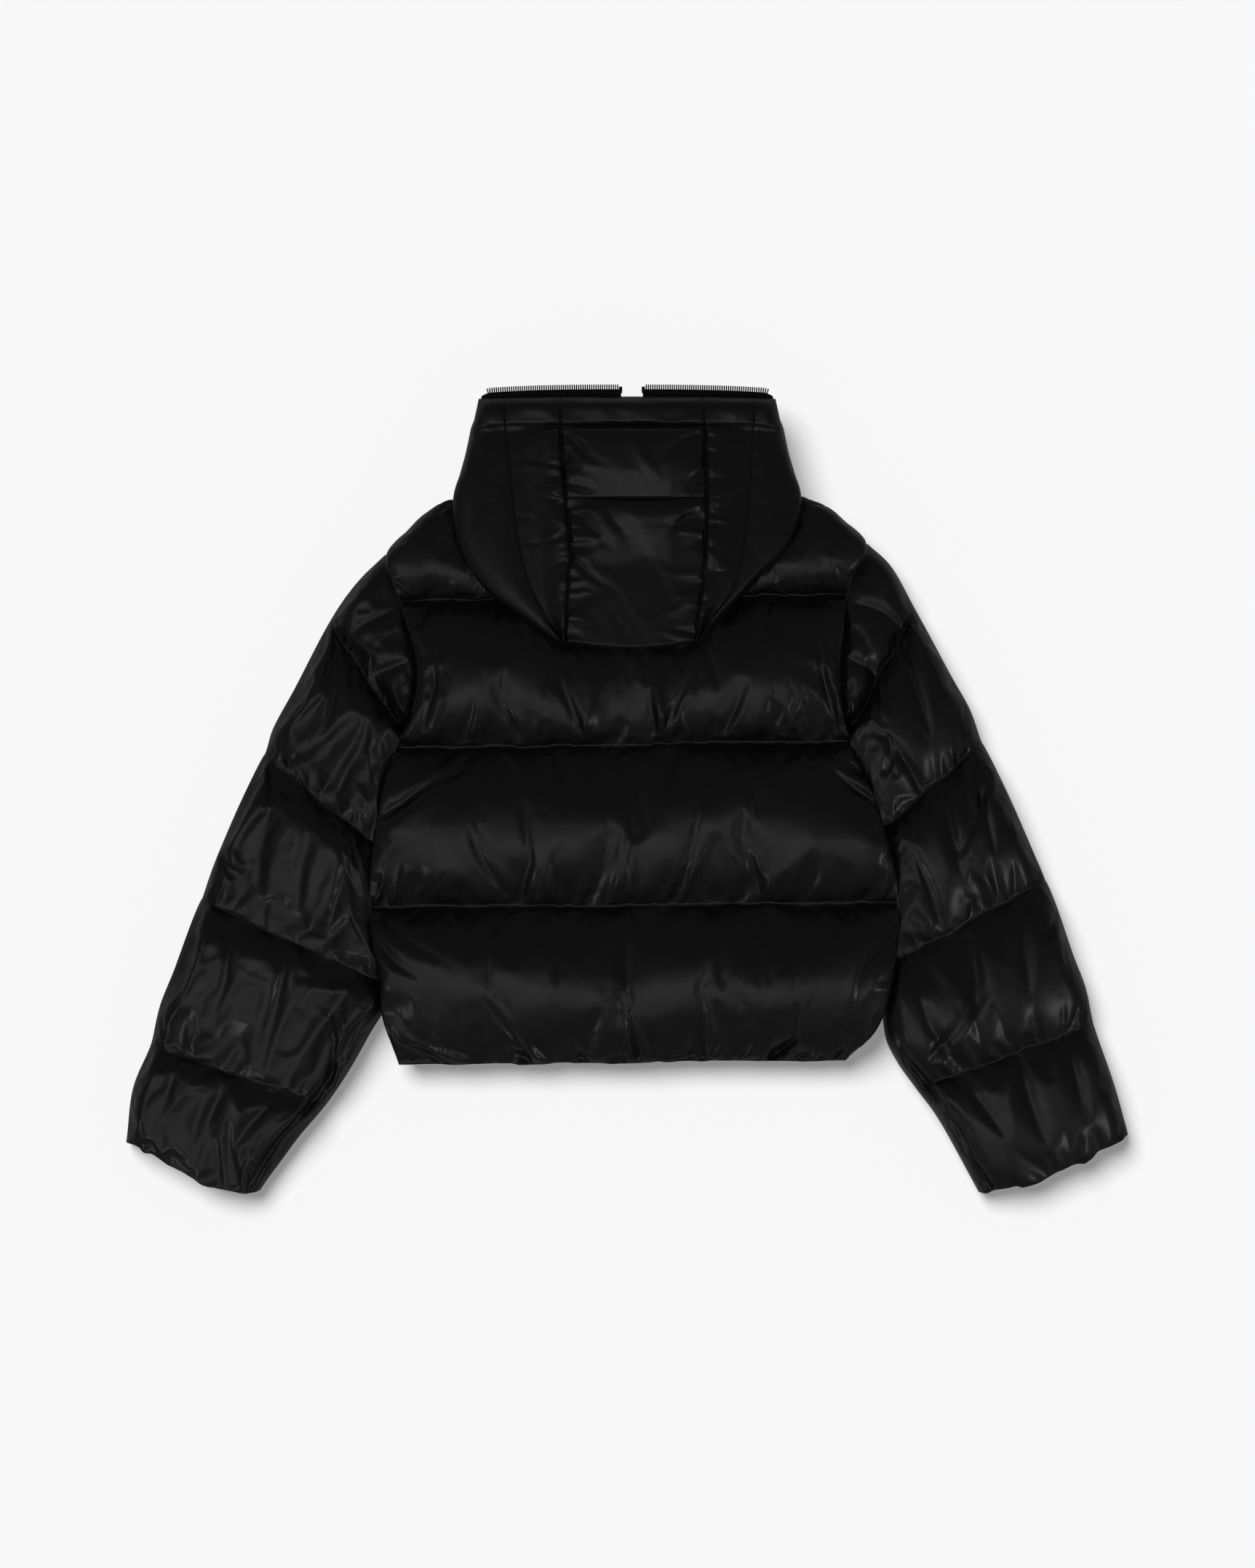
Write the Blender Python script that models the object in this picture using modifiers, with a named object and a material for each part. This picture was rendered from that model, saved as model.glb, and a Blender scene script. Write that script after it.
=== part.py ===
"""A cropped, hooded puffer jacket in glossy black nylon, zipped up and laid flat on its front.

The jacket lies on its fronts, with its back, its sleeves and its folded-down hood upwards.
+X is the side of the wearer's right sleeve, +Y runs from the hem to the neck and +Z is up. The origin
is on the surface that the jacket lies on, below the middle of its box. Tables are in millimetres.
"""
import math

import bmesh
import bpy

MM = 0.001
SHIFT_Y = -0.5         # from the tables' frame to the middle of the jacket's box
GAP = 0.3              # between pieces that are sewn together or lie on each other

# Heights above the surface that the jacket lies on
FRONT_TOP = 25.0       # upper side of the two fronts
FRONT_NOSE = 12.0      # height of a front's outermost edge
FRONT_LOW_RIM = 5.0    # where the fronts begin to roll in underneath
BACK_FLOOR = FRONT_TOP + GAP
BACK_NOSE = 33.0       # height of the back's outermost edge
BACK_SEAM = 35.0       # height of the quilt lines
HEM_NOSE = 31.0
NECK_HEIGHT = 46.0     # the back where it runs in under the hood
UNDER_HOOD = 50.0      # the back and the folded layers, pressed flat by the hood
HOOD_FLOOR = UNDER_HOOD + GAP
HOOD_NOSE = 57.5
SLEEVE_SEAM = 27.0
SLEEVE_NOSE = 12.0
SLIT_MIDDLE = 12.0     # where a sleeve's two halves lie on each other
SLIT_HALF = 1.0
CUFF_HALF = 5.0        # half the height of the cuff's mouth
CHANNEL_CRESTS = (60.0, 63.0, 62.0, 58.0)      # back channels, hem to neck
BAFFLE_CRESTS = (48.0, 53.0, 54.0, 52.0, 44.0)  # sleeve channels, armhole to cuff

# Distances in plan
CHANNEL_LENGTH = 140.0  # about, of one back channel from seam to seam
SIDE_ROUND = 38.0
BACK_UNDERCUT = 10.0   # how far the back's edge rolls in underneath
FRONT_ROUND = 10.0
SLEEVE_ROUND = 40.0
SLEEVE_UNDERCUT = 9.0
SLEEVE_TUCK = 3.5      # how far below the back's underside a sleeve's top starts
SLEEVE_CLEAR = 5.0     # how far it stays so low outside the back's edge
SLIT_INSET = 15.0
CUFF_MOUTH = 0.4       # length of the cuff's widening mouth, in sleeve channels
ARMHOLE_GAP = 0.9
BOW_LEAN = 1.3         # the cuffs' edges bow out most towards the underarm
PRESSED_MARGIN = 14.0  # how far beyond its edge the hood presses the back
PRESSED_SLOPE = 0.8

# The back's outline: channel coordinate (whole numbers are quilt lines), then left and right edge.
# tuck is how much narrower the fronts are, where the sleeves slip in under the back's edge.
BACK_ROWS = (
    # v, left x, left y, right x, right y, tuck
    (0.00, -217.6, -260.9, 217.6, -258.7, 3.0),
    (0.30, -231.0, -216.0, 246.0, -222.0, 12.0),
    (0.62, -237.0, -168.0, 254.0, -172.0, 19.0),
    (1.00, -245.3, -109.0, 257.8, -104.0, 22.0),
    (1.55, -237.7, -27.1, 241.0, -27.0, 22.0),
    (2.00, -221.7, 42.5, 212.5, 49.0, 20.0),
    (2.25, -206.5, 74.0, 204.5, 80.5, 10.0),
    (2.50, -199.5, 114.5, 201.8, 114.0, 1.5),
    (2.75, -206.5, 149.0, 205.0, 152.0, 1.5),
    (3.00, -217.6, 182.0, 209.9, 189.0, 1.5),
    (3.40, -232.0, 226.5, 228.3, 236.5, 1.5),
    (3.65, -209.9, 253.3, 206.5, 261.6, 1.5),
    (3.85, -191.2, 267.9, 188.4, 273.4, 1.5),
    (4.00, -170.4, 278.3, 166.9, 281.1, 1.5),
)
LAST_SEAM = 4.0
SHOULDER_V = 3.40
ARMPIT_V = 2.23

# Sleeves: baffle coordinate (whole numbers are quilt lines), outer edge, underarm edge, bow of the row
SLEEVE_LEFT = (
    # s, outer x, outer y, inner x, inner y, bow
    (0.0, -233.0, 226.0, -207.2, 71.5, 0.0),
    (0.5, -257.1, 198.5, -210.5, 66.0, 0.0),
    (1.0, -283.5, 163.8, -212.7, 58.0, 0.0),
    (1.5, -317.5, 100.6, -216.0, 4.0, 0.0),
    (1.75, -338.3, 62.5, -221.0, -27.0, 0.0),
    (2.0, -346.7, 36.8, -227.0, -58.0, 0.0),
    (2.5, -378.0, -32.0, -229.5, -122.0, 0.0),
    (2.75, -394.5, -69.4, -226.5, -154.0, 0.0),
    (3.0, -406.3, -100.6, -222.0, -186.0, 0.0),
    (3.5, -431.5, -167.0, -243.0, -236.0, 0.0),
    (3.75, -444.5, -204.7, -262.5, -268.0, 0.0),
    (4.0, -452.1, -239.4, -284.5, -297.7, 0.0),
    (4.5, -470.0, -279.0, -312.0, -334.5, 4.0),
    (5.0, -477.0, -325.0, -349.4, -378.0, 20.0),
)
SLEEVE_RIGHT = (
    (0.0, 230.0, 236.0, 207.5, 66.0, 0.0),
    (0.5, 251.5, 214.5, 208.5, 62.0, 0.0),
    (1.0, 274.5, 174.2, 209.2, 56.0, 0.0),
    (1.5, 309.2, 111.0, 210.0, 14.0, 0.0),
    (1.75, 327.2, 79.8, 220.0, -15.0, 0.0),
    (2.0, 339.0, 47.2, 231.0, -44.0, 0.0),
    (2.5, 369.5, -18.7, 242.0, -102.0, 0.0),
    (2.75, 384.8, -52.1, 243.5, -134.0, 0.0),
    (3.0, 399.4, -84.0, 241.0, -165.0, 0.0),
    (3.5, 423.7, -154.1, 245.0, -227.0, 0.0),
    (3.75, 435.5, -187.4, 257.5, -254.0, 0.0),
    (4.0, 445.2, -220.7, 274.0, -280.4, 0.0),
    (4.5, 463.0, -272.0, 297.0, -315.5, 6.0),
    (5.0, 477.0, -325.0, 333.5, -376.0, 24.0),
)

# The hood's seams from the neck band (v = 0) over the quilt line (v = 1) to the crown (v = 2)
HOOD_ROWS = (
    # v, left edge, left side seam, left centre seam, right centre seam, right side seam, right edge
    (0.00, -149.6, 343.5, -115.8, 347.5, -63.1, 348.3, 72.5, 348.3, 119.0, 347.5, 148.2, 343.5),
    (0.50, -157.5, 310.0, -111.5, 313.0, -60.5, 313.0, 73.6, 313.0, 116.9, 313.0, 156.0, 311.0),
    (1.00, -167.0, 276.0, -108.0, 279.0, -57.9, 278.3, 74.6, 278.3, 114.5, 279.0, 166.0, 276.0),
    (1.35, -161.0, 236.0, -102.5, 237.0, -53.3, 235.0, 73.2, 235.0, 110.0, 237.0, 154.5, 238.0),
    (1.70, -136.0, 194.0, -91.0, 195.0, -55.5, 188.0, 69.3, 186.0, 98.2, 192.0, 119.5, 197.0),
    (1.90, -96.0, 162.5, -74.0, 162.0, -58.0, 156.0, 65.5, 156.0, 77.5, 162.5, 87.5, 163.5),
    (2.00, -65.0, 142.5, -61.8, 142.0, -59.3, 141.6, 63.5, 141.6, 66.5, 142.2, 69.5, 143.0),
)
CROWN_V = 2.0
HOOD_SAG = 6.3         # how far the crown's edge rounds out at its middle
HOOD_LOWER_LENGTH = 137.0   # from the quilt line to the crown
CROWN_ROUND = 42.0
HOOD_SIDE_ROUND = 46.0

# Heights and swellings of the hood's three kinds of panel
CENTRE_HEIGHTS = (69.0, 72.0)   # at the neck band, and from the quilt line on
CENTRE_PUFF = 17.0
MID_HEIGHTS = (67.0, 71.0)      # at the side seam and at the centre seam
MID_PUFF = 8.0
SIDE_HEIGHT = 67.5
SIDE_PUFF = 3.0
NECK_FALL = 5.0                 # how much lower mid and side panels start at the neck band
NECK_FALL_PACE = 0.7
PUCKERS = 4.9                   # gathers along a centre seam for each step of v
PUCKER_DEPTH = 2.6
CENTRE_PUCKER_REACH = 0.12      # as a share of the panel's width
MID_PUCKER_REACH = 0.3
MID_PUCKER_PHASE = 2.0
HOOD_SIDE_IN = 0.14             # how far the sides roll in underneath, as a share of the panel
CROWN_IN = 0.045                # and the crown

# The neck band above the hood: x of its upright seams along its top edge
BAND_TOP = (-142.6, -116.6, -63.5, 71.1, 120.4, 140.5)
BAND_TOP_Y = 375.1
BAND_DROP = 2.2        # how much lower the top edge is at its ends
BAND_LENGTH = 27.0     # from its seam to its top edge
BAND_HEIGHT = 70.0
BAND_PUFF = 4.0
BAND_FALL = 3.0        # how much lower it lies at its two ends
BAND_ROUND = 13.0
BAND_SIDE_ROUND = 16.0
BAND_TOP_IN = 0.26
BAND_SIDE_IN = 0.2

# The hood's folded layers under it: height, draw-in at the sides and at the band, for two soft layers
UNDER_RINGS = (
    (46.0, 0.0, 0.0),
    (37.0, -0.022, -0.06),
    (29.0, -0.010, -0.02),
    (25.0, 0.012, 0.05),
    (21.0, -0.010, -0.02),
    (12.0, -0.022, -0.06),
    (4.0, -0.008, -0.01),
    (0.0, 0.020, 0.08),
)
UNDER_NECK_V = 0.97    # the hood's width where the layers start at the neck
UNDER_NECK_Y = 284.5
UNDER_BAND_GAP = 6.0   # how far the layers stay behind the band's top edge
UNDER_SIDE_GAP = 9.0
UNDER_CORNER = 10.0    # how much their two corners at the band are rounded
UNDER_CORNER_V = 0.3

# Zip tapes above the neck band
TAPES = (
    # name, inner end x, outer end x
    ("zip_tape_left", -6.0, -138.5),
    ("zip_tape_right", 14.5, 137.8),
)
TAPE_ROOT_Y = 371.2
TAPE_TOP_Y = 383.0
TAPE_DROP = 6.0        # how much lower its top edge is at its outer end
TAPE_CORNER = 3.0
TAPE_CORNER_FROM = 0.93
TAPE_FLOOR = 50.5
TAPE_THICK = 1.2

# The front zip between the two fronts
ZIP_HALF = 12.0        # half the width of its tapes
ZIP_ENDS_Y = (-256.9, 276.0)
ZIP_HEIGHTS = (7.0, 13.0)
ZIP_BEVEL = 1.0
SLIDER_HALF = 5.0
SLIDER_ENDS_Y = (250.0, 262.0)
SLIDER_LOW = 2.5
SLIDER_BEVEL = 0.8

# The largest folds: middle, length and half width, depth, and lean from +Y towards +X in degrees
BACK_FOLDS = (
    # x, y, run, width, depth, lean
    (-146.0, 92.0, 34.0, 10.0, 5.0, -22.0),
    (-112.0, 78.0, 30.0, 9.0, 6.0, 18.0),
    (-37.0, 84.0, 32.0, 10.0, 5.5, -14.0),
    (28.0, 80.0, 30.0, 10.0, 6.0, 16.0),
    (92.0, 84.0, 32.0, 9.0, 5.0, -18.0),
    (170.0, 104.0, 44.0, 9.0, 5.0, 12.0),
    (-186.0, 82.0, 40.0, 9.0, 5.0, -8.0),
    (-104.0, -72.0, 34.0, 10.0, 5.5, 24.0),
    (-30.0, -74.0, 32.0, 10.0, 5.0, -16.0),
    (48.0, -72.0, 36.0, 8.0, 6.5, 2.0),
    (127.0, -66.0, 32.0, 10.0, 5.0, -24.0),
    (-205.0, 2.0, 34.0, 10.0, 5.0, 52.0),
    (211.0, 2.0, 34.0, 10.0, 5.0, -52.0),
    (-190.0, -150.0, 40.0, 11.0, 4.5, 38.0),
    (214.0, -150.0, 40.0, 11.0, 4.5, -34.0),
)
HEM_PLEATS = (
    # x, run, width, depth, lean
    (-188.0, 40.0, 9.0, 4.0, 14.0),
    (-152.0, 46.0, 9.0, 4.0, 10.0),
    (-118.0, 64.0, 10.0, 5.5, 20.0),
    (-84.0, 50.0, 9.0, 4.5, 12.0),
    (-42.0, 66.0, 9.0, 5.5, 12.0),
    (0.0, 76.0, 8.0, 6.0, 8.0),
    (32.0, 44.0, 8.0, 4.0, -4.0),
    (66.0, 70.0, 9.0, 5.5, -10.0),
    (98.0, 44.0, 8.0, 4.0, -8.0),
    (128.0, 60.0, 9.0, 5.0, -14.0),
    (160.0, 48.0, 9.0, 4.5, -20.0),
    (192.0, 40.0, 9.0, 4.0, -18.0),
)
SLEEVE_FOLDS = (
    # s, w, run in s, half width in w, depth, slant in w over one s
    (0.45, 0.30, 0.30, 0.050, 4.0, -0.20),
    (0.55, 0.62, 0.30, 0.050, 4.0, -0.10),
    (1.30, 0.30, 0.34, 0.050, 4.5, 0.10),
    (1.72, 0.58, 0.32, 0.050, 5.0, -0.15),
    (1.40, 0.80, 0.40, 0.050, 4.0, 0.05),
    (2.25, 0.18, 0.34, 0.045, 4.5, 0.15),
    (2.30, 0.44, 0.36, 0.050, 5.0, 0.10),
    (2.76, 0.66, 0.34, 0.050, 5.0, -0.15),
    (3.24, 0.22, 0.34, 0.045, 4.5, 0.15),
    (3.30, 0.50, 0.38, 0.045, 5.0, 0.15),
    (3.72, 0.76, 0.34, 0.050, 5.0, -0.10),
    (4.26, 0.20, 0.30, 0.045, 4.0, 0.10),
    (4.30, 0.48, 0.34, 0.045, 4.5, 0.05),
    (4.28, 0.74, 0.30, 0.045, 4.0, -0.10),
)
CUFF_GATHERS = 7
GATHER_DEPTH = 2.4
GATHER_LENGTH = 0.3    # in sleeve channels, up from the cuff

NYLON = {"colour": (0.018, 0.018, 0.017, 1.0), "roughness": 0.34, "metallic": 0.0}
TAPE = {"colour": (0.012, 0.012, 0.012, 1.0), "roughness": 0.7, "metallic": 0.0}
METAL = {"colour": (0.55, 0.55, 0.56, 1.0), "roughness": 0.3, "metallic": 1.0}


def clear_scene():
    for thing in list(bpy.data.objects):
        bpy.data.objects.remove(thing, do_unlink=True)


def make_material(name, finish):
    material = bpy.data.materials.new(name)
    material.use_nodes = True
    shader = material.node_tree.nodes["Principled BSDF"]
    shader.inputs["Base Color"].default_value = finish["colour"]
    shader.inputs["Roughness"].default_value = finish["roughness"]
    shader.inputs["Metallic"].default_value = finish["metallic"]
    return material


def mix(a, b, share):
    return a + (b - a) * share


def table_at(table, key):
    """The columns of a table at any value of its first one, on a smooth curve through its rows."""
    last = len(table) - 1
    row = 0
    while row < last - 1 and key > table[row + 1][0]:
        row += 1
    start, end = table[row], table[row + 1]
    before, after = table[max(row - 1, 0)], table[min(row + 2, last)]
    step = end[0] - start[0]
    share = (key - start[0]) / step
    cubed, squared = share ** 3, share ** 2
    values = []
    for column in range(1, len(start)):
        slope_in = (end[column] - before[column]) / (end[0] - before[0]) * step
        slope_out = (after[column] - start[column]) / (after[0] - start[0]) * step
        values.append(
            start[column] * (2 * cubed - 3 * squared + 1)
            + slope_in * (cubed - 2 * squared + share)
            + end[column] * (3 * squared - 2 * cubed)
            + slope_out * (cubed - squared)
        )
    return values


def eased(count, crowding):
    """Steps from 0 to 1 that crowd together towards both ends."""
    steps = []
    for index in range(count + 1):
        share = index / count
        steps.append(share - crowding * math.sin(2 * math.pi * share) / (2 * math.pi))
    return steps


def channel_steps(channels, count, crowding):
    """Steps over a row of channels that crowd together towards each seam."""
    steps = []
    for channel in range(channels):
        steps.extend(channel + step for step in eased(count, crowding)[:-1])
    return steps + [float(channels)]


def puff(share):
    """The rise of a padded channel between its two seams, 0 at each and 1 in the middle."""
    return max(0.0, 1.0 - abs(2.0 * share - 1.0) ** 2.4) ** 0.75


def rise(share):
    """The rise of a padded channel that runs on without falling again."""
    return puff(min(max(share, 0.0), 0.5))


def rounded(distance, radius):
    """A quarter round: 0 at the edge and 1 from the radius inwards."""
    inner = 1.0 - min(max(distance, 0.0) / radius, 1.0)
    return math.sqrt(1.0 - inner * inner)


def trough(along, across, run, width):
    """A soft fold that runs out at both ends."""
    return math.exp(-(across / width) ** 2) * math.exp(-(along / run) ** 4)


def waves(turns, phase=0.0):
    """Gathers between 0 and 1, one for each turn."""
    return 0.5 + 0.5 * math.cos(2 * math.pi * turns + phase)


def folds_at(x, y, table):
    depth = 0.0
    for middle_x, middle_y, run, width, deep, lean in table:
        angle = math.radians(lean)
        along = (x - middle_x) * math.sin(angle) + (y - middle_y) * math.cos(angle)
        across = (x - middle_x) * math.cos(angle) - (y - middle_y) * math.sin(angle)
        depth += deep * trough(along, across, run / 2, width)
    return depth


def outside(x, y, outline):
    """How far a point lies outside an outline, below zero within it."""
    nearest = math.inf
    inside = False
    before = outline[-1]
    for corner in outline:
        run_x, run_y = corner[0] - before[0], corner[1] - before[1]
        square = run_x * run_x + run_y * run_y
        share = ((x - before[0]) * run_x + (y - before[1]) * run_y) / square if square else 0.0
        share = min(max(share, 0.0), 1.0)
        away = math.hypot(x - before[0] - share * run_x, y - before[1] - share * run_y)
        nearest = min(nearest, away)
        if (corner[1] > y) != (before[1] > y):
            crossing = corner[0] + (y - corner[1]) / (before[1] - corner[1]) * (before[0] - corner[0])
            inside = inside != (x < crossing)
        before = corner
    return -nearest if inside else nearest


def back_plan(u, v):
    left_x, left_y, right_x, right_y = table_at(BACK_ROWS, v)[:4]
    return mix(left_x, right_x, u), mix(left_y, right_y, u)


def back_span(v):
    columns = table_at(BACK_ROWS, v)
    return columns[2] - columns[0]


def back_outline():
    steps = [0.1 * index for index in range(41)]
    left = [back_plan(0.0, v) for v in steps]
    right = [back_plan(1.0, v) for v in reversed(steps)]
    return left + right


def hood_line(v, line):
    """A point of one of the hood's six upright lines, counted from its left edge."""
    columns = table_at(HOOD_ROWS, v)
    return columns[2 * line], columns[2 * line + 1]


def hood_outline():
    steps = [0.1 * index for index in range(21)]
    left = [hood_line(v, 0) for v in steps]
    right = [hood_line(v, 5) for v in reversed(steps)]
    crown = (mix(left[-1][0], right[0][0], 0.5), hood_line(CROWN_V, 2)[1] - HOOD_SAG)
    return left + [crown] + right


BACK_OUTLINE = back_outline()
HOOD_OUTLINE = hood_outline()


def back_top(u, v):
    """Height of the back's quilted outer side."""
    x, y = back_plan(u, v)
    last = len(CHANNEL_CRESTS) - 1
    channel = min(int(v), last)
    share = v - channel
    low = HEM_NOSE if channel == 0 else BACK_SEAM
    high = NECK_HEIGHT if channel == last else BACK_SEAM
    base = mix(low, high, share)
    height = base + (CHANNEL_CRESTS[channel] - base) * puff(share)
    height -= folds_at(x, y, BACK_FOLDS) * puff(share)
    if channel == 0:
        hem_y = BACK_ROWS[0][2]
        pleats = [(px, hem_y, run, width, deep, lean) for px, run, width, deep, lean in HEM_PLEATS]
        height -= folds_at(x, y, pleats)
    side = min(u, 1.0 - u) * back_span(v)
    height = BACK_NOSE + (height - BACK_NOSE) * rounded(side, SIDE_ROUND)
    beyond_hood = max(0.0, outside(x, y, HOOD_OUTLINE) - PRESSED_MARGIN)
    return min(height, UNDER_HOOD + PRESSED_SLOPE * beyond_hood)


def finish_object(name, mesh, material, collection):
    mesh.shade_smooth()
    mesh.materials.append(material)
    thing = bpy.data.objects.new(name, mesh)
    collection.objects.link(thing)
    return thing


def placed(x, y, z):
    return x * MM, (y + SHIFT_Y) * MM, z * MM


def add_pad(name, plan, top, u_steps, v_steps, rings, material, collection):
    """A padded panel: a grid of outer points over a flat underside.

    Each ring below the grid's border is a height and how far it draws in at the four sides,
    as shares of the panel: at u = 0, at u = 1, at the first v and at the last v.
    """
    bm = bmesh.new()
    columns, rows = len(u_steps) - 1, len(v_steps) - 1
    bmesh.ops.create_grid(bm, x_segments=columns, y_segments=rows, size=0.5)
    step_of = {}
    for vert in bm.verts:
        step_of[vert] = (round((vert.co.x + 0.5) * columns), round((vert.co.y + 0.5) * rows))
    for vert, (column, row) in step_of.items():
        x, y = plan(u_steps[column], v_steps[row])
        vert.co = placed(x, y, top(u_steps[column], v_steps[row]))
    border = [edge for edge in bm.edges if edge.is_boundary]
    v_low, v_high = v_steps[0], v_steps[-1]
    for height, u_low_in, u_high_in, v_low_in, v_high_in in rings:
        upper = {vert for edge in border for vert in edge.verts}
        made = bmesh.ops.extrude_edge_only(bm, edges=border)["geom"]
        border = [item for item in made if isinstance(item, bmesh.types.BMEdge) and item.is_boundary]
        for vert in [item for item in made if isinstance(item, bmesh.types.BMVert)]:
            above = next(edge.other_vert(vert) for edge in vert.link_edges if edge.other_vert(vert) in upper)
            column, row = step_of[above]
            step_of[vert] = (column, row)
            v_share = (v_steps[row] - v_low) / (v_high - v_low)
            u = mix(u_low_in, 1.0 - u_high_in, u_steps[column])
            v = mix(v_low, v_high, mix(v_low_in, 1.0 - v_high_in, v_share))
            vert.co = placed(*plan(u, v), height)
    bmesh.ops.holes_fill(bm, edges=border, sides=0)
    bmesh.ops.recalc_face_normals(bm, faces=bm.faces)
    mesh = bpy.data.meshes.new(name)
    bm.to_mesh(mesh)
    bm.free()
    return finish_object(name, mesh, material, collection)


def add_back(material, collection):
    undercut = BACK_UNDERCUT / back_span(1.0)
    rings = [(BACK_FLOOR, undercut, undercut, 0.016, 0.002)]
    u_steps = eased(42, 0.55)
    v_steps = channel_steps(len(CHANNEL_CRESTS), 8, 0.5)
    add_pad("back", back_plan, back_top, u_steps, v_steps, rings, material, collection)


def front_plan(side):
    """Plan of one front: u runs from its side edge to the zip."""
    def plan(u, v):
        left_x, left_y, right_x, right_y, tuck = table_at(BACK_ROWS, v)
        span = right_x - left_x
        zip_u = (side * (ZIP_HALF + GAP) - left_x) / span
        edge_u = tuck / span if side < 0 else 1.0 - tuck / span
        return back_plan(mix(edge_u, zip_u, u), v)
    return plan


def add_front(side, name, material, collection):
    half = back_span(1.0) / 2
    draw_in = FRONT_ROUND / half

    def top(u, v):
        at_ends = min(v, LAST_SEAM - v) * CHANNEL_LENGTH
        return mix(FRONT_NOSE, FRONT_TOP, rounded(min(u * half, at_ends), FRONT_ROUND))

    u_steps = [0.0, 0.01, 0.025, 0.05, 0.3, 0.65, 1.0]
    ends = [0.0, 0.02, 0.05, 0.1]
    v_steps = ends + [0.25 * step for step in range(1, 16)] + [LAST_SEAM - end for end in reversed(ends)]
    rings = [
        (FRONT_LOW_RIM, draw_in * 0.2, 0.0, 0.003, 0.003),
        (0.0, draw_in, 0.0, 0.018, 0.018),
    ]
    add_pad(name, front_plan(side), top, u_steps, v_steps, rings, material, collection)


def armhole(side, w):
    """A point of the armhole's edge, from the shoulder to the armpit, just outside the back."""
    v = mix(SHOULDER_V, ARMPIT_V, w)
    x, y = back_plan(0.0 if side < 0 else 1.0, v)
    return x + side * ARMHOLE_GAP, y


def sleeve_width(table, s):
    outer_x, outer_y, inner_x, inner_y = table_at(table, s)[:4]
    return math.hypot(inner_x - outer_x, inner_y - outer_y)


def sleeve_plan(side, table, w, s):
    """A point of a sleeve seen from above: w runs from its outer edge to its underarm edge."""
    outer_x, outer_y, inner_x, inner_y, bow = table_at(table, s)
    x, y = mix(outer_x, inner_x, w), mix(outer_y, inner_y, w)
    if s < 1.0:
        first_x, first_y, last_x, last_y = table[0][1:5]
        seam_x, seam_y = armhole(side, w)
        fading = (1.0 - s) ** 1.5
        x += (seam_x - mix(first_x, last_x, w)) * fading
        y += (seam_y - mix(first_y, last_y, w)) * fading
    length = sleeve_width(table, s)
    reach = bow * math.sin(math.pi * w ** BOW_LEAN)
    x += side * reach * abs(inner_y - outer_y) / length
    y -= reach * abs(inner_x - outer_x) / length
    return x, y


def sleeve_top(side, table, w, s):
    """Height of a sleeve's quilted outer side."""
    last = len(BAFFLE_CRESTS) - 1
    baffle = min(int(s), last)
    height = SLEEVE_SEAM + (BAFFLE_CRESTS[baffle] - SLEEVE_SEAM) * puff(s - baffle)
    for fold_s, fold_w, run, width, deep, slant in SLEEVE_FOLDS:
        across = w - fold_w - slant * (s - fold_s)
        height -= deep * trough(s - fold_s, across, run, width)
    cuff_s = len(BAFFLE_CRESTS)
    near_cuff = max(0.0, s - cuff_s + GATHER_LENGTH) / GATHER_LENGTH
    height -= GATHER_DEPTH * waves(CUFF_GATHERS * w) * near_cuff
    to_edge = min(w, 1.0 - w) * sleeve_width(table, s)
    height = SLEEVE_NOSE + (height - SLEEVE_NOSE) * rounded(to_edge, SLEEVE_ROUND)
    x, y = sleeve_plan(side, table, w, s)
    beyond_back = max(0.0, outside(x, y, BACK_OUTLINE) - SLEEVE_CLEAR)
    return min(height, BACK_FLOOR - SLEEVE_TUCK + beyond_back)


def across_sleeve(side, table, s, w_steps, inset):
    """Points across a sleeve, drawn in by a distance at both edges."""
    share = inset / sleeve_width(table, s)
    return [sleeve_plan(side, table, mix(share, 1.0 - share, w), s) for w in w_steps]


def outer_ring(side, table, s, w_top, w_low):
    """One ring round a sleeve: over its top from outer edge to underarm, and back underneath."""
    upper = across_sleeve(side, table, s, w_top, 0.0)
    lower = across_sleeve(side, table, s, w_low, SLEEVE_UNDERCUT)
    heights = [sleeve_top(side, table, w, s) for w in w_top]
    return [(x, y, z) for (x, y), z in zip(upper, heights)] + [(x, y, 0.0) for x, y in lower]


def inner_ring(side, table, s, w_top, w_low):
    """One ring of the narrow space inside a sleeve, which widens towards the cuff's mouth."""
    cuff_s = len(BAFFLE_CRESTS)
    half = mix(SLIT_HALF, CUFF_HALF, max(0.0, s - cuff_s + CUFF_MOUTH) / CUFF_MOUTH)
    upper = across_sleeve(side, table, s, w_top, SLIT_INSET)
    lower = across_sleeve(side, table, s, w_low, SLIT_INSET + 1.0)
    lens = [0.2 + 0.8 * min(1.0, 8 * min(w, 1 - w)) for w in w_top]
    ring = [(x, y, SLIT_MIDDLE + half * share) for (x, y), share in zip(upper, lens)]
    return ring + [(x, y, SLIT_MIDDLE - half) for x, y in lower]


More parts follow.
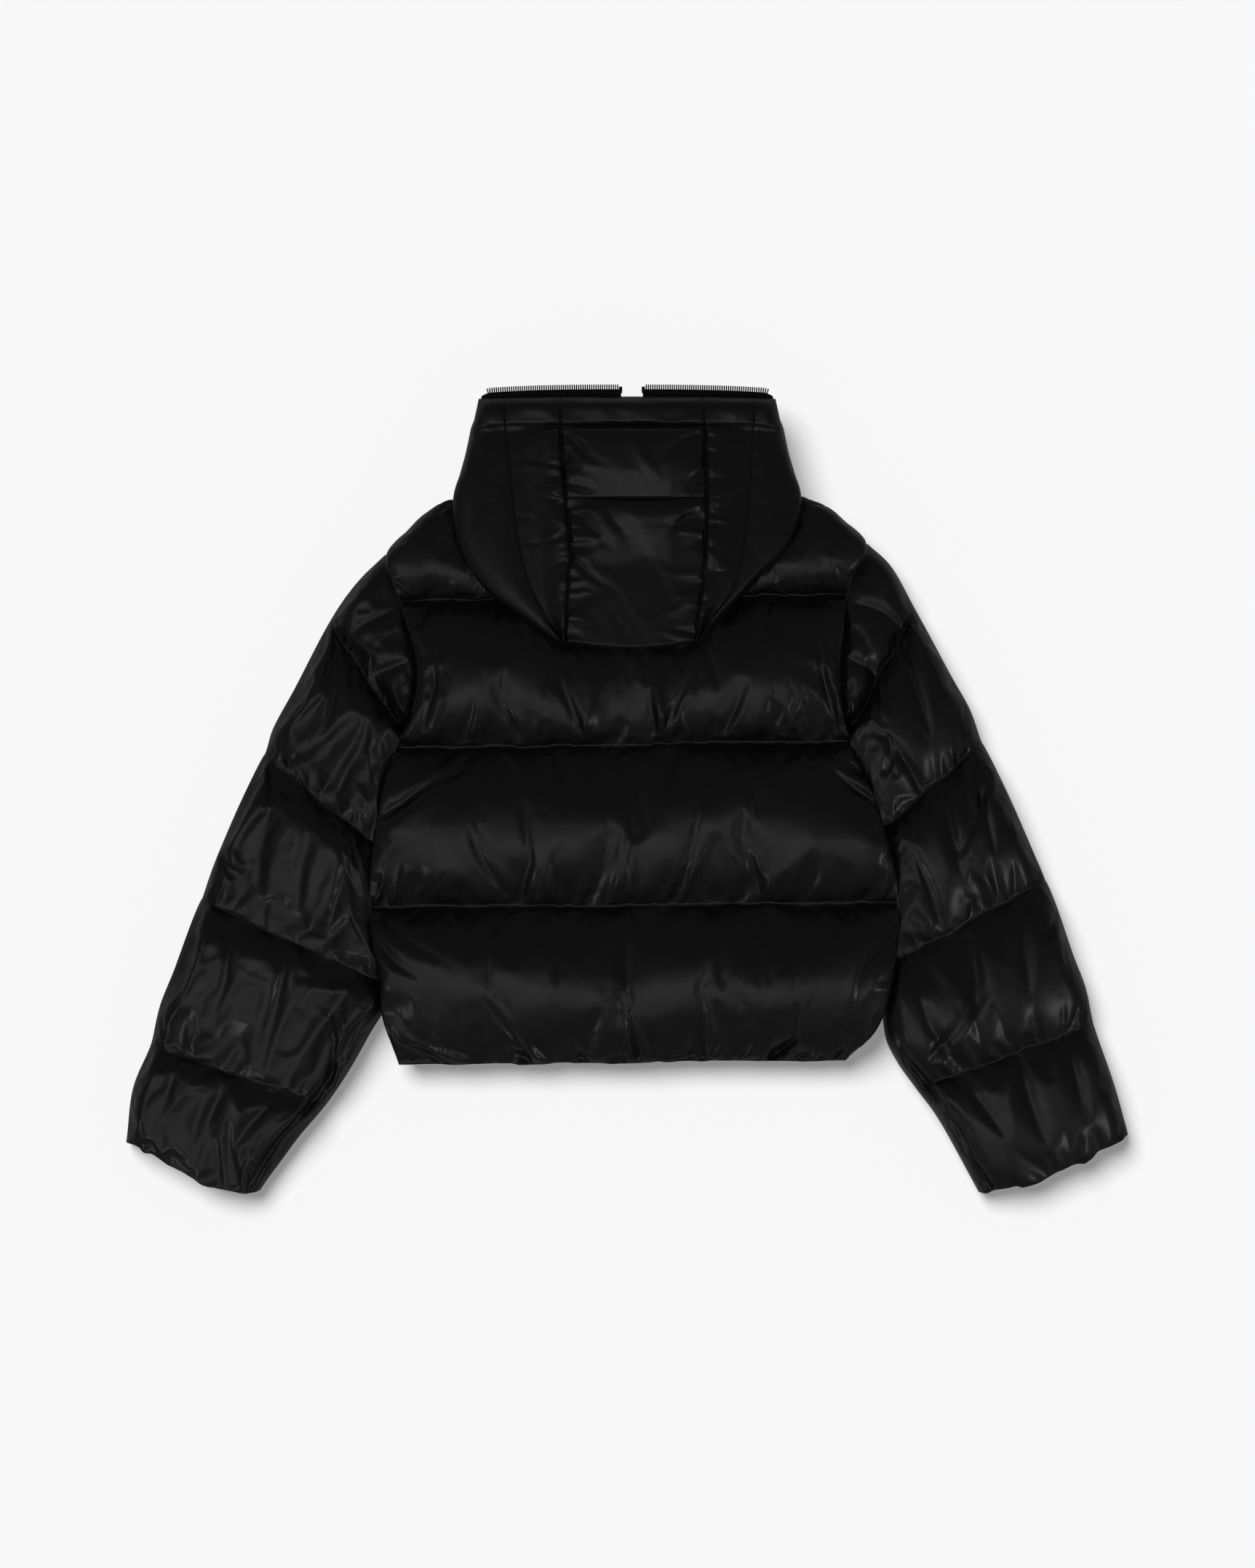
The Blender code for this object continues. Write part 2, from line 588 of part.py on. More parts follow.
def add_sleeve(side, table, name, material, collection):
    """A padded sleeve: a flattened tube, open at the armhole and at the cuff."""
    w_top = eased(14, 0.55)
    w_low = [0.98, 0.74, 0.5, 0.26, 0.02]
    rings = [outer_ring(side, table, s, w_top, w_low) for s in channel_steps(len(BAFFLE_CRESTS), 6, 0.5)]
    rings += [inner_ring(side, table, s, w_top, w_low) for s in (5.0, 4.85, 4.6, 3.6, 2.4, 1.2, 0.0)]
    bm = bmesh.new()
    loops = [[bm.verts.new(placed(*point)) for point in ring] for ring in rings]
    for index, first in enumerate(loops):
        second = loops[(index + 1) % len(loops)]
        for corner in range(len(first)):
            after = (corner + 1) % len(first)
            bm.faces.new((first[corner], second[corner], second[after], first[after]))
    bmesh.ops.recalc_face_normals(bm, faces=bm.faces)
    mesh = bpy.data.meshes.new(name)
    bm.to_mesh(mesh)
    bm.free()
    finish_object(name, mesh, material, collection)


def hood_plan(first, second):
    """Plan of a hood panel between two of the hood's seams, counted from the left."""
    def plan(u, v):
        left_x, left_y = hood_line(v, first)
        right_x, right_y = hood_line(v, second)
        left_x += 0.0 if first == 0 else GAP / 2
        right_x -= 0.0 if second == 5 else GAP / 2
        sag = HOOD_SAG * (v / CROWN_V) ** 4 * math.sin(math.pi * u) if first == 2 else 0.0
        return mix(left_x, right_x, u), mix(left_y, right_y, u) - sag
    return plan


def over_crown(height, v):
    """The hood's fall to its crown edge."""
    return HOOD_NOSE + (height - HOOD_NOSE) * rounded((CROWN_V - v) * HOOD_LOWER_LENGTH, CROWN_ROUND)


def neck_fall(v):
    return NECK_FALL * (1.0 - rise(v * NECK_FALL_PACE))


def centre_top(u, v):
    along = puff(v) if v < 1.0 else rise(v - 1.0)
    height = mix(*CENTRE_HEIGHTS, min(v, 1.0)) + CENTRE_PUFF * puff(u) * along
    at_seam = math.exp(-(min(u, 1.0 - u) / CENTRE_PUCKER_REACH) ** 2)
    height -= PUCKER_DEPTH * waves(PUCKERS * v) * at_seam * along
    return over_crown(height, v)


def mid_top(inward):
    """Height of the panels beside the centre; inward is 1 where u = 1 lies at the centre seam."""
    def top(u, v):
        share = u if inward > 0 else 1.0 - u
        height = mix(*MID_HEIGHTS, share) + MID_PUFF * puff(share) - neck_fall(v)
        at_seam = math.exp(-((1.0 - share) / MID_PUCKER_REACH) ** 2)
        height -= PUCKER_DEPTH * waves(PUCKERS * v, MID_PUCKER_PHASE) * at_seam
        return over_crown(height, v)
    return top


def side_top(inward):
    """Height of the outer side panels, which roll down to the hood's edge."""
    first = 0 if inward > 0 else 4

    def top(u, v):
        share = u if inward > 0 else 1.0 - u
        to_edge = share * (hood_line(v, first + 1)[0] - hood_line(v, first)[0])
        height = SIDE_HEIGHT + SIDE_PUFF * puff(share) - neck_fall(v)
        height = HOOD_NOSE + (height - HOOD_NOSE) * rounded(to_edge, HOOD_SIDE_ROUND)
        return over_crown(height, v)
    return top


def add_hood(material, collection):
    """The hood's outer panels; the quilt line parts the centre one in two."""
    def add(name, first, top, columns, crowding, v_steps, draw_in):
        add_pad(name, hood_plan(first, first + 1), top, eased(columns, crowding), v_steps,
                [(HOOD_FLOOR,) + draw_in], material, collection)

    lower_start = 1.0 + GAP / HOOD_LOWER_LENGTH
    v_upper = eased(7, 0.4)
    v_lower = [mix(lower_start, CROWN_V, step) for step in eased(13, 0.35)]
    v_whole = [CROWN_V * step for step in eased(18, 0.3)]
    straight = (0.0, 0.0, 0.0, 0.0)
    add("hood_centre_upper", 2, centre_top, 12, 0.45, v_upper, straight)
    add("hood_centre_lower", 2, centre_top, 12, 0.45, v_lower, (0.0, 0.0, 0.0, CROWN_IN))
    add("hood_mid_left", 1, mid_top(1), 5, 0.3, v_whole, straight)
    add("hood_mid_right", 3, mid_top(-1), 5, 0.3, v_whole, straight)
    add("hood_side_left", 0, side_top(1), 6, 0.3, v_whole, (HOOD_SIDE_IN, 0.0, 0.0, 0.0))
    add("hood_side_right", 4, side_top(-1), 6, 0.3, v_whole, (0.0, HOOD_SIDE_IN, 0.0, 0.0))


def band_ends(line, v):
    """A point of one of the neck band's upright lines, from the hood's seam (0) to its top edge (1)."""
    low_x, low_y = hood_line(0.0, line)
    top_y = BAND_TOP_Y - BAND_DROP * (BAND_TOP[line] / BAND_TOP[0]) ** 4
    return mix(low_x, BAND_TOP[line], v), mix(low_y + GAP, top_y, v)


def band_plan(piece):
    def plan(u, v):
        left_x, left_y = band_ends(piece, v)
        right_x, right_y = band_ends(piece + 1, v)
        left_x += GAP / 2 if piece > 0 else 0.0
        right_x -= GAP / 2 if piece < 4 else 0.0
        return mix(left_x, right_x, u), mix(left_y, right_y, u)
    return plan


def band_top(piece):
    plan = band_plan(piece)

    def top(u, v):
        x = plan(u, v)[0]
        height = BAND_HEIGHT + BAND_PUFF * puff(u) * puff(v) - BAND_FALL * (x / BAND_TOP[5]) ** 2
        height = HOOD_NOSE + (height - HOOD_NOSE) * rounded((1.0 - v) * BAND_LENGTH, BAND_ROUND)
        to_side = min(x - band_ends(0, v)[0], band_ends(5, v)[0] - x)
        return HOOD_NOSE + (height - HOOD_NOSE) * rounded(to_side, BAND_SIDE_ROUND)
    return top


def add_band(material, collection):
    for piece, columns in enumerate((5, 5, 9, 5, 5)):
        left_in = BAND_SIDE_IN if piece == 0 else 0.0
        right_in = BAND_SIDE_IN if piece == 4 else 0.0
        rings = [(HOOD_FLOOR, left_in, right_in, 0.0, BAND_TOP_IN)]
        add_pad(f"collar_{piece + 1}", band_plan(piece), band_top(piece), eased(columns, 0.2),
                eased(5, 0.4), rings, material, collection)


def under_plan(u, v):
    """Plan of the hood's folded layers between the neck and the band's top edge."""
    hood_v = mix(UNDER_NECK_V, 0.0, v)
    rounding = UNDER_CORNER * max(0.0, (v - 1.0 + UNDER_CORNER_V) / UNDER_CORNER_V) ** 2
    draw_in = UNDER_SIDE_GAP + rounding
    x = mix(hood_line(hood_v, 0)[0] + draw_in, hood_line(hood_v, 5)[0] - draw_in, u)
    return x, mix(UNDER_NECK_Y, BAND_TOP_Y - UNDER_BAND_GAP, v)


def add_under(material, collection):
    def top(u, v):
        return UNDER_HOOD

    rings = [(height, side, side, 0.0, band) for height, side, band in UNDER_RINGS]
    add_pad("hood_under", under_plan, top, eased(8, 0.3), eased(4, 0.3), rings, material, collection)


def tape_plan(inner_x, outer_x):
    def plan(u, v):
        x = mix(inner_x, outer_x, u)
        reach = abs(x / outer_x)
        corner = TAPE_CORNER * max(0.0, (reach - TAPE_CORNER_FROM) / (1.0 - TAPE_CORNER_FROM)) ** 2
        top_y = TAPE_TOP_Y - TAPE_DROP * reach ** 3 - corner
        return x, mix(TAPE_ROOT_Y - BAND_DROP * reach ** 4, top_y, v)
    return plan


def add_tapes(material, collection):
    def top(u, v):
        return TAPE_FLOOR + TAPE_THICK

    for name, inner_x, outer_x in TAPES:
        add_pad(name, tape_plan(inner_x, outer_x), top, eased(16, 0.3), [0.0, 1.0],
                [(TAPE_FLOOR, 0.0, 0.0, 0.0, 0.0)], material, collection)


def add_box(name, low, high, bevel, material, collection):
    """A box between two corners, with its edges broken."""
    bpy.ops.mesh.primitive_cube_add(size=1.0)
    box = bpy.context.active_object
    box.name = name
    box.data.name = name
    for corner in box.data.vertices:
        corner.co = placed(*(mix(low[axis], high[axis], corner.co[axis] + 0.5) for axis in range(3)))
    box.data.update()
    box.data.materials.append(material)
    edges = box.modifiers.new("broken edges", "BEVEL")
    edges.width = bevel * MM
    edges.segments = 2
    for home in list(box.users_collection):
        home.objects.unlink(box)
    collection.objects.link(box)


def add_front_zip(tape, metal, collection):
    """The closed zip between the fronts and its slider at the neck, both clear of the ground."""
    hem_y, neck_y = ZIP_ENDS_Y
    low, high = ZIP_HEIGHTS
    add_box("zip_front", (-ZIP_HALF, hem_y, low), (ZIP_HALF, neck_y, high), ZIP_BEVEL, tape, collection)
    slider_low = (-SLIDER_HALF, SLIDER_ENDS_Y[0], SLIDER_LOW)
    slider_high = (SLIDER_HALF, SLIDER_ENDS_Y[1], low - GAP)
    add_box("zip_slider", slider_low, slider_high, SLIDER_BEVEL, metal, collection)


def build():
    clear_scene()
    collection = bpy.data.collections.new("puffer_jacket")
    bpy.context.scene.collection.children.link(collection)
    nylon = make_material("black_nylon", NYLON)
    tape = make_material("black_tape", TAPE)
    metal = make_material("bright_metal", METAL)
    add_back(nylon, collection)
    add_front(-1, "front_left", nylon, collection)
    add_front(1, "front_right", nylon, collection)
    add_front_zip(tape, metal, collection)
    add_sleeve(-1, SLEEVE_LEFT, "sleeve_left", nylon, collection)
    add_sleeve(1, SLEEVE_RIGHT, "sleeve_right", nylon, collection)
    add_under(nylon, collection)
    add_hood(nylon, collection)
    add_band(nylon, collection)
    add_tapes(tape, collection)


build()
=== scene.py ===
import math
import bmesh
import bpy
import numpy as np
from mathutils import Matrix, Vector


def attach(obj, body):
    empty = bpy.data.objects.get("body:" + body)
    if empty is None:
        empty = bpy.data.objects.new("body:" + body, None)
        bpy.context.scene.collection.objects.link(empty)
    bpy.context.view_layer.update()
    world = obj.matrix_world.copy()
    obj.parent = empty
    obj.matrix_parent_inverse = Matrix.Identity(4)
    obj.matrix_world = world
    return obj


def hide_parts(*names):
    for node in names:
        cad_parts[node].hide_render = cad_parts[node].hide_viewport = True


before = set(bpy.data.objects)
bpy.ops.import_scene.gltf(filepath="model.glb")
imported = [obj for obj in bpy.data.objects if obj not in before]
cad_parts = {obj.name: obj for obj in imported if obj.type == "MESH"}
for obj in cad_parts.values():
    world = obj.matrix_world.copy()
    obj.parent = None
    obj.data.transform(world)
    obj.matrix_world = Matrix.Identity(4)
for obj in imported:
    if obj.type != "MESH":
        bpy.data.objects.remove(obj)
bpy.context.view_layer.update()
print("frame loaded")

mm = 0.001
tiny = 1e-5
shift = (0.0, -0.5)      # from the cutting tables' middle to the jacket's own, in mm

# the cut, in mm, as it lies
heights = {
    "frontTop": 25.0, "frontNose": 12.0, "sleeveNose": 12.0,
    "backFloor": 25.3, "backNose": 33.0, "backSeam": 34.5, "hemNose": 31.0, "neck": 46.0,
    "underHood": 50.0, "hoodFloor": 50.3,
}
channelCrests = (58.0, 60.5, 59.5, 57.0)        # back, hem to neck
baffleCrests = (47.0, 51.0, 52.0, 50.0, 45.0)   # sleeves, armhole to cuff

backRows = (
    # v, left x, left y, right x, right y, how much narrower the fronts are
    (0.00, -217.6, -259.0, 207.5, -254.8, 3.0),
    (0.30, -231.0, -216.0, 237.0, -222.0, 12.0),
    (0.62, -237.0, -168.0, 252.0, -172.0, 19.0),
    (1.00, -245.3, -109.0, 257.8, -104.0, 22.0),
    (1.55, -237.7, -27.1, 241.0, -27.0, 22.0),
    (2.00, -221.7, 42.5, 212.5, 49.0, 20.0),
    (2.25, -206.5, 74.0, 204.5, 80.5, 10.0),
    (2.50, -199.5, 114.5, 201.8, 114.0, 1.5),
    (2.75, -206.5, 149.0, 205.0, 152.0, 1.5),
    (3.00, -217.6, 182.0, 209.9, 189.0, 1.5),
    (3.40, -228.3, 224.9, 226.2, 235.2, 1.5),
    (3.65, -207.6, 251.0, 205.0, 259.8, 1.5),
    (3.85, -190.2, 266.8, 187.8, 272.6, 1.5),
    (4.00, -170.4, 278.3, 166.9, 281.1, 1.5),
)
shoulderV = 3.40      # where the armhole starts and ends on the back's sides
armpitV = 2.23

sleeveLeft = (
    # s, outer x, outer y, underarm x, underarm y, bow of the row
    (0.0, -233.0, 227.0, -207.2, 71.5, 0.0),
    (0.5, -259.3, 200.2, -210.5, 66.0, 0.0),
    (1.0, -284.2, 164.2, -212.7, 58.0, 0.0),
    (1.5, -317.5, 100.6, -216.0, 4.0, 0.0),
    (1.75, -338.3, 62.5, -221.0, -27.0, 0.0),
    (2.0, -346.7, 36.8, -227.0, -58.0, 0.0),
    (2.5, -378.0, -32.0, -229.5, -122.0, 0.0),
    (2.75, -394.5, -69.4, -226.5, -154.0, 0.0),
    (3.0, -406.3, -100.6, -222.0, -186.0, 0.0),
    (3.5, -430.5, -167.2, -247.5, -233.0, 0.0),
    (3.75, -446.0, -204.2, -266.0, -265.6, 0.0),
    (4.0, -455.0, -239.0, -286.6, -296.2, 0.0),
    (4.5, -472.5, -282.0, -316.0, -331.5, 3.0),
    (5.0, -478.5, -332.0, -351.0, -380.0, 9.0),
)
sleeveRight = (
    # the same columns
    (0.0, 230.0, 236.0, 207.5, 66.0, 0.0),
    (0.5, 252.4, 215.2, 208.5, 62.0, 0.0),
    (1.0, 275.4, 174.7, 209.2, 56.0, 0.0),
    (1.5, 309.6, 111.2, 210.0, 14.0, 0.0),
    (1.75, 327.2, 79.8, 220.0, -15.0, 0.0),
    (2.0, 339.0, 47.2, 231.0, -44.0, 0.0),
    (2.5, 369.5, -18.7, 242.0, -102.0, 0.0),
    (2.75, 384.8, -52.1, 243.5, -134.0, 0.0),
    (3.0, 399.4, -84.0, 241.0, -165.0, 0.0),
    (3.5, 423.7, -154.1, 246.0, -231.0, 0.0),
    (3.75, 437.0, -187.0, 257.5, -257.0, 0.0),
    (4.0, 445.2, -220.7, 274.0, -280.4, 0.0),
    (4.5, 464.5, -277.0, 298.5, -314.3, 4.0),
    (5.0, 479.0, -328.0, 335.0, -380.0, 9.0),
)
bowLean = 1.3      # brings the bow's deepest point nearer to the underarm

hoodRows = (
    # v, then x and y of: left edge, side seam, centre seam, and the same from the right centre seam out
    (0.00, -147.2, 343.5, -115.8, 347.5, -63.1, 348.3, 72.5, 348.3, 119.0, 347.5, 146.6, 343.5),
    (0.50, -155.6, 310.0, -111.5, 313.0, -60.5, 313.0, 73.6, 313.0, 116.9, 313.0, 155.0, 311.0),
    (1.00, -165.3, 276.0, -108.0, 279.0, -57.9, 278.3, 74.6, 278.3, 114.5, 279.0, 164.6, 276.0),
    (1.35, -161.0, 236.0, -102.5, 237.0, -53.3, 235.0, 73.2, 235.0, 110.0, 237.0, 154.5, 238.0),
    (1.70, -136.0, 194.0, -91.0, 195.0, -55.5, 188.0, 69.3, 186.0, 98.2, 192.0, 119.5, 197.0),
    (1.90, -96.0, 162.5, -74.0, 162.0, -58.0, 156.0, 65.5, 156.0, 77.5, 162.5, 87.5, 163.5),
    (2.00, -65.0, 142.5, -61.8, 142.0, -59.3, 141.6, 63.5, 141.6, 66.5, 142.2, 69.5, 143.0),
)
hoodSag = 6.3      # of the crown's middle
crownSpan = 134.0  # its width
crownY = 141.6
bandTop = (-140.8, -116.6, -63.5, 71.1, 120.4, 140.0)      # x of the upright seams at the band's top edge
bandTopY = 375.1
bandDrop = 2.2     # of the top edge at its ends


# sums that the pieces share, on whole arrays of points
def mix(a, b, share):
    return a + (b - a) * share


def clipped(share):
    return np.clip(share, 0.0, 1.0)


def bell(distance):
    return np.exp(-distance ** 2)


def tableAt(table, keys):
    # a table's columns at any key, on a smooth curve through its rows
    rows = np.array(table, float)
    keys = np.asarray(keys, float)
    heads = rows[:, 0]
    at = np.clip(np.searchsorted(heads, keys, side="left") - 1, 0, len(heads) - 2)
    before = np.maximum(at - 1, 0)
    after = np.minimum(at + 2, len(heads) - 1)
    step = heads[at + 1] - heads[at]
    t = ((keys - heads[at]) / step)[..., None]
    slopeIn = (rows[at + 1] - rows[before]) * (step / (heads[at + 1] - heads[before]))[..., None]
    slopeOut = (rows[after] - rows[at]) * (step / (heads[after] - heads[at]))[..., None]
    curve = rows[at] * (2 * t ** 3 - 3 * t ** 2 + 1) + slopeIn * (t ** 3 - 2 * t ** 2 + t)
    curve += rows[at + 1] * (3 * t ** 2 - 2 * t ** 3) + slopeOut * (t ** 3 - t ** 2)
    return np.moveaxis(curve[..., 1:], -1, 0)


def eased(count, crowding):
    # steps from 0 to 1 that crowd towards both ends
    share = np.linspace(0.0, 1.0, count + 1)
    return share - crowding * np.sin(2 * np.pi * share) / (2 * np.pi)


def channelSteps(channels, rows):
    steps = [channel + eased(rows, 0.4)[:-1] for channel in range(channels)]
    return np.append(np.concatenate(steps), float(channels))


def puff(share, fullness=2.4):
    # the cross-section of a filled channel, from seam to seam
    return np.maximum(0.0, 1.0 - np.abs(2.0 * share - 1.0) ** fullness) ** 0.75


def rise(share):
    # the first half of a puff, then level
    return puff(np.clip(share, 0.0, 0.5))


def rounded(distance, radius, fullness=2.0):
    # a rounded edge: 0 at the edge, 1 from its radius on
    inner = 1.0 - clipped(distance / radius)
    return np.sqrt(1.0 - inner ** fullness)


def softLower(a, b, blend):
    # the lower of two heights, run into each other over a blend
    near = np.maximum(0.0, 1.0 - np.abs(a - b) / blend)
    return np.minimum(a, b) - 0.25 * blend * near * near


def trough(along, across, run, width):
    # one fold's hollow, deepest in its middle
    return np.exp(-np.abs(across / width) ** 1.7) * bell(along / run)


def smooth(share):
    share = clipped(share)
    return share * share * (3.0 - 2.0 * share)


def creasesAt(x, y, table):
    # creases along bent lines, thin at their tip and wide at their foot, with a lip on one side
    height = np.zeros_like(x)
    for width, deep, line in table:
        nearest = np.full(x.shape, 1e9)
        sideways = np.zeros(x.shape)
        along = np.zeros(x.shape)
        length = 0.0
        for before, corner in zip(line[:-1], line[1:]):
            runX, runY = corner[0] - before[0], corner[1] - before[1]
            run = math.hypot(runX, runY)
            share = clipped(((x - before[0]) * runX + (y - before[1]) * runY) / run ** 2)
            offX, offY = x - before[0] - share * runX, y - before[1] - share * runY
            away = np.hypot(offX, offY)
            closer = away < nearest
            nearest = np.minimum(nearest, away)
            sideways = np.where(closer, np.sign(runX * offY - runY * offX) * away, sideways)
            along = np.where(closer, length + share * run, along)
            length += run
        share = along / length
        reach = width * (0.45 + 0.55 * share)
        lip = 0.55 * bell((sideways - 1.9 * reach) / (1.5 * reach))
        strength = smooth(1.35 * share) * smooth((1.0 - share) / 0.12)
        height += deep * strength * (lip - np.exp(-np.abs(sideways / reach) ** 1.6))
    return height


def wander(along, step, seed):
    # a smooth, irregular line between -1 and 1 that turns about once a step
    knots = np.random.default_rng(seed).uniform(-1.0, 1.0, 1024)
    spot = along / step + 512.0
    spot = spot + 0.3 * np.sin(1.9 * spot + seed)
    at = np.floor(spot).astype(int)
    t = spot - at
    t = t * t * t * (t * (t * 6.0 - 15.0) + 10.0)
    return mix(knots[at % 1024], knots[(at + 1) % 1024], t)


def wobble(along, waves):
    # wandering lines laid over each other, each with its size, step and seed
    return sum(size * wander(along, step, seed) for size, step, seed in waves)


def seamFolds(along, away, folds, seed):
    # gathers that start at a seam and run out, thin ridges between wide hollows; each kind has its
    # size along the seam, its reach and its depth
    total = np.zeros_like(along)
    for number, (size, reach, depth) in enumerate(folds):
        key = 10 * seed + 3 * number
        spot = along + 0.55 * wander(along, 2.5 * size, key + 1) * away
        wave = wander(spot, size, key)
        crease = 0.42 - np.sqrt(wave * wave + 0.006)
        run = reach * (0.8 + 0.5 * wander(spot, 1.5 * size, key + 2))
        total += depth * crease * bell(away / run) * (1.0 - np.exp(-away / (0.15 * size)))
    return total


def outside(x, y, outline):
    # distance outside an outline, below zero within it
    nearest = np.full(x.shape, 1e9)
    inside = np.zeros(x.shape, bool)
    before = outline[-1]
    for corner in outline:
        runX, runY = corner[0] - before[0], corner[1] - before[1]
        square = max(runX * runX + runY * runY, 1e-9)
        share = clipped(((x - before[0]) * runX + (y - before[1]) * runY) / square)
        away = np.hypot(x - before[0] - share * runX, y - before[1] - share * runY)
        nearest = np.minimum(nearest, away)
        if corner[1] != before[1]:
            crosses = (corner[1] > y) != (before[1] > y)
            crossing = corner[0] + (y - corner[1]) / (before[1] - corner[1]) * (before[0] - corner[0])
            inside ^= crosses & (x < crossing)
        before = corner
    return np.where(inside, -nearest, nearest)


# meshes
def readPoints(mesh):
    points = np.zeros(len(mesh.vertices) * 3, np.float32)
    mesh.vertices.foreach_get("co", points)
    return points.reshape(-1, 3).astype(float)


def writePoints(mesh, points):
    mesh.vertices.foreach_set("co", np.asarray(points, np.float32).ravel())
    mesh.update()


def readNumbers(mesh, name):
    numbers = np.zeros(len(mesh.vertices), np.float32)
    mesh.attributes[name].data.foreach_get("value", numbers)
    return numbers.astype(float)


def gridNumbers(piece):
    return readNumbers(piece.data, "u"), readNumbers(piece.data, "v")


def place(x, y, z):
    return np.stack([(x + shift[0]) * mm, (y + shift[1]) * mm, z * mm], axis=-1)


def addThing(name, data):
    thing = bpy.data.objects.new(name, data)
    bpy.context.scene.collection.objects.link(thing)
    return thing


def addMesh(name, bm):
    mesh = bpy.data.meshes.new(name)
    bm.to_mesh(mesh)
    bm.free()
    return addThing(name, mesh)


def startGrid(name, uSteps, vSteps):
    # a grid whose points carry their own u and v
    bm = bmesh.new()
    bmesh.ops.create_grid(bm, x_segments=len(uSteps) - 1, y_segments=len(vSteps) - 1, size=0.5)
    uLayer = bm.verts.layers.float.new("u")
    vLayer = bm.verts.layers.float.new("v")
    for vert in bm.verts:
        vert[uLayer] = uSteps[round((vert.co.x + 0.5) * (len(uSteps) - 1))]
        vert[vLayer] = vSteps[round((vert.co.y + 0.5) * (len(vSteps) - 1))]
    return addMesh(name, bm)


def openMesh(piece):
    bm = bmesh.new()
    bm.from_mesh(piece.data)
    return bm, bm.verts.layers.float["u"], bm.verts.layers.float["v"]


def growRing(bm, edges):
    # a ring of new faces outside a border: its new points and its new border
    made = bmesh.ops.extrude_edge_only(bm, edges=edges)["geom"]
    verts = [item for item in made if isinstance(item, bmesh.types.BMVert)]
    return verts, [item for item in made if isinstance(item, bmesh.types.BMEdge) and item.is_boundary]


# what all the puffed cloth shares; its bending, pressure and slack are each piece's own
shellCloth = {"quality": 5, "mass": 0.3, "stiffness": 15.0, "shear": 5.0, "damping": 5.0, "airDamping": 2.0}


def puffUp(piece, sewn, cloth):
    # Blender's cloth, cut a little larger than it lies, blown up between the sewn points and then frozen
    scene = bpy.context.scene
    before = readPoints(piece.data)
    group = piece.vertex_groups.new(name="sewn")
    group.add([int(index) for index in np.flatnonzero(sewn)], 1.0, "REPLACE")
    modifier = piece.modifiers.new("cloth", "CLOTH")
    settings = modifier.settings
    settings.quality = shellCloth["quality"]
    settings.mass = shellCloth["mass"]
    for way in ("tension", "compression"):
        setattr(settings, way + "_stiffness", shellCloth["stiffness"])
        setattr(settings, way + "_damping", shellCloth["damping"])
    settings.shear_stiffness = shellCloth["shear"]
    settings.bending_stiffness = cloth["bending"]
    settings.air_damping = shellCloth["airDamping"]
    settings.vertex_group_mass = "sewn"
    settings.use_pressure = True
    settings.uniform_pressure_force = cloth["pressure"]
    settings.shrink_min = -cloth["slack"]
    settings.effector_weights.gravity = 0.0
    modifier.collision_settings.use_collision = False
    modifier.point_cache.frame_start = 1
    modifier.point_cache.frame_end = cloth["frames"]
    for step in range(1, cloth["frames"] + 1):
        scene.frame_set(step)
    shown = piece.evaluated_get(bpy.context.evaluated_depsgraph_get())
    after = readPoints(shown.data)
    piece.modifiers.remove(modifier)
    piece.vertex_groups.remove(group)
    scene.frame_set(1)
    move = after - before
    far = np.linalg.norm(move, axis=1)
    cap = cloth["cap"] * mm
    print(f"  {piece.name}: moved up to {far.max() / mm:.1f} mm, mostly {np.median(far) / mm:.1f} mm")
    move *= (np.minimum(far, cap) / np.maximum(far, 1e-9))[:, None]
    after = before + move
    after[sewn] = before[sewn]
    writePoints(piece.data, after)


straightDown = ((0.0, 0.0, 0.0, 0.0, 0.0),)


def closeBelow(piece, plan, rims, uRange, vRange, floor):
    # side walls and a flat underside, in rings from the border down; each ring has its share of the
    # border's height, then how far it is drawn in at low u, high u, low v and high v
    bm, uLayer, vLayer = openMesh(piece)
    topLayer = bm.verts.layers.float.new("top")
    border = [edge for edge in bm.edges if edge.is_boundary]
    for edge in border:
        for vert in edge.verts:
            vert[topLayer] = vert.co.z / mm
    for left, uLowIn, uHighIn, vLowIn, vHighIn in rims:
        verts, border = growRing(bm, border)
        u = np.array([(vert[uLayer] - uRange[0]) / (uRange[1] - uRange[0]) for vert in verts])
        v = np.array([(vert[vLayer] - vRange[0]) / (vRange[1] - vRange[0]) for vert in verts])
        z = mix(floor, np.array([vert[topLayer] for vert in verts]), left)
        u = mix(uRange[0], uRange[1], mix(uLowIn, 1.0 - uHighIn, u))
        v = mix(vRange[0], vRange[1], mix(vLowIn, 1.0 - vHighIn, v))
        x, y = plan(u, v)
        for vert, spot in zip(verts, place(x, y, z)):
            vert.co = spot
    for edge in border:
        edge.smooth = False
    bmesh.ops.holes_fill(bm, edges=border, sides=0)
    bmesh.ops.recalc_face_normals(bm, faces=bm.faces)
    bm.to_mesh(piece.data)
    bm.free()


def layUv(piece, across, along):
    # the weave's own map, in metres, from the piece's size in mm per step of u and of v
    u, v = gridNumbers(piece)
    mesh = piece.data
    corners = np.zeros(len(mesh.loops), np.int32)
    mesh.loops.foreach_get("vertex_index", corners)
    spots = np.stack([(u * across * mm)[corners], (v * along * mm)[corners]], axis=-1)
    mesh.uv_layers.new(name="cloth").data.foreach_set("uv", spots.astype(np.float32).ravel())


def finishPiece(piece, material, node):
    piece.data.materials.append(material)
    piece.data.shade_smooth()
    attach(piece, "root")
    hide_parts(node)


def finishPadded(piece, node):
    finishPiece(piece, nylon, node)


# materials
def setInputs(node, values):
    for socket, value in values.items():
        node.inputs[socket].default_value = value


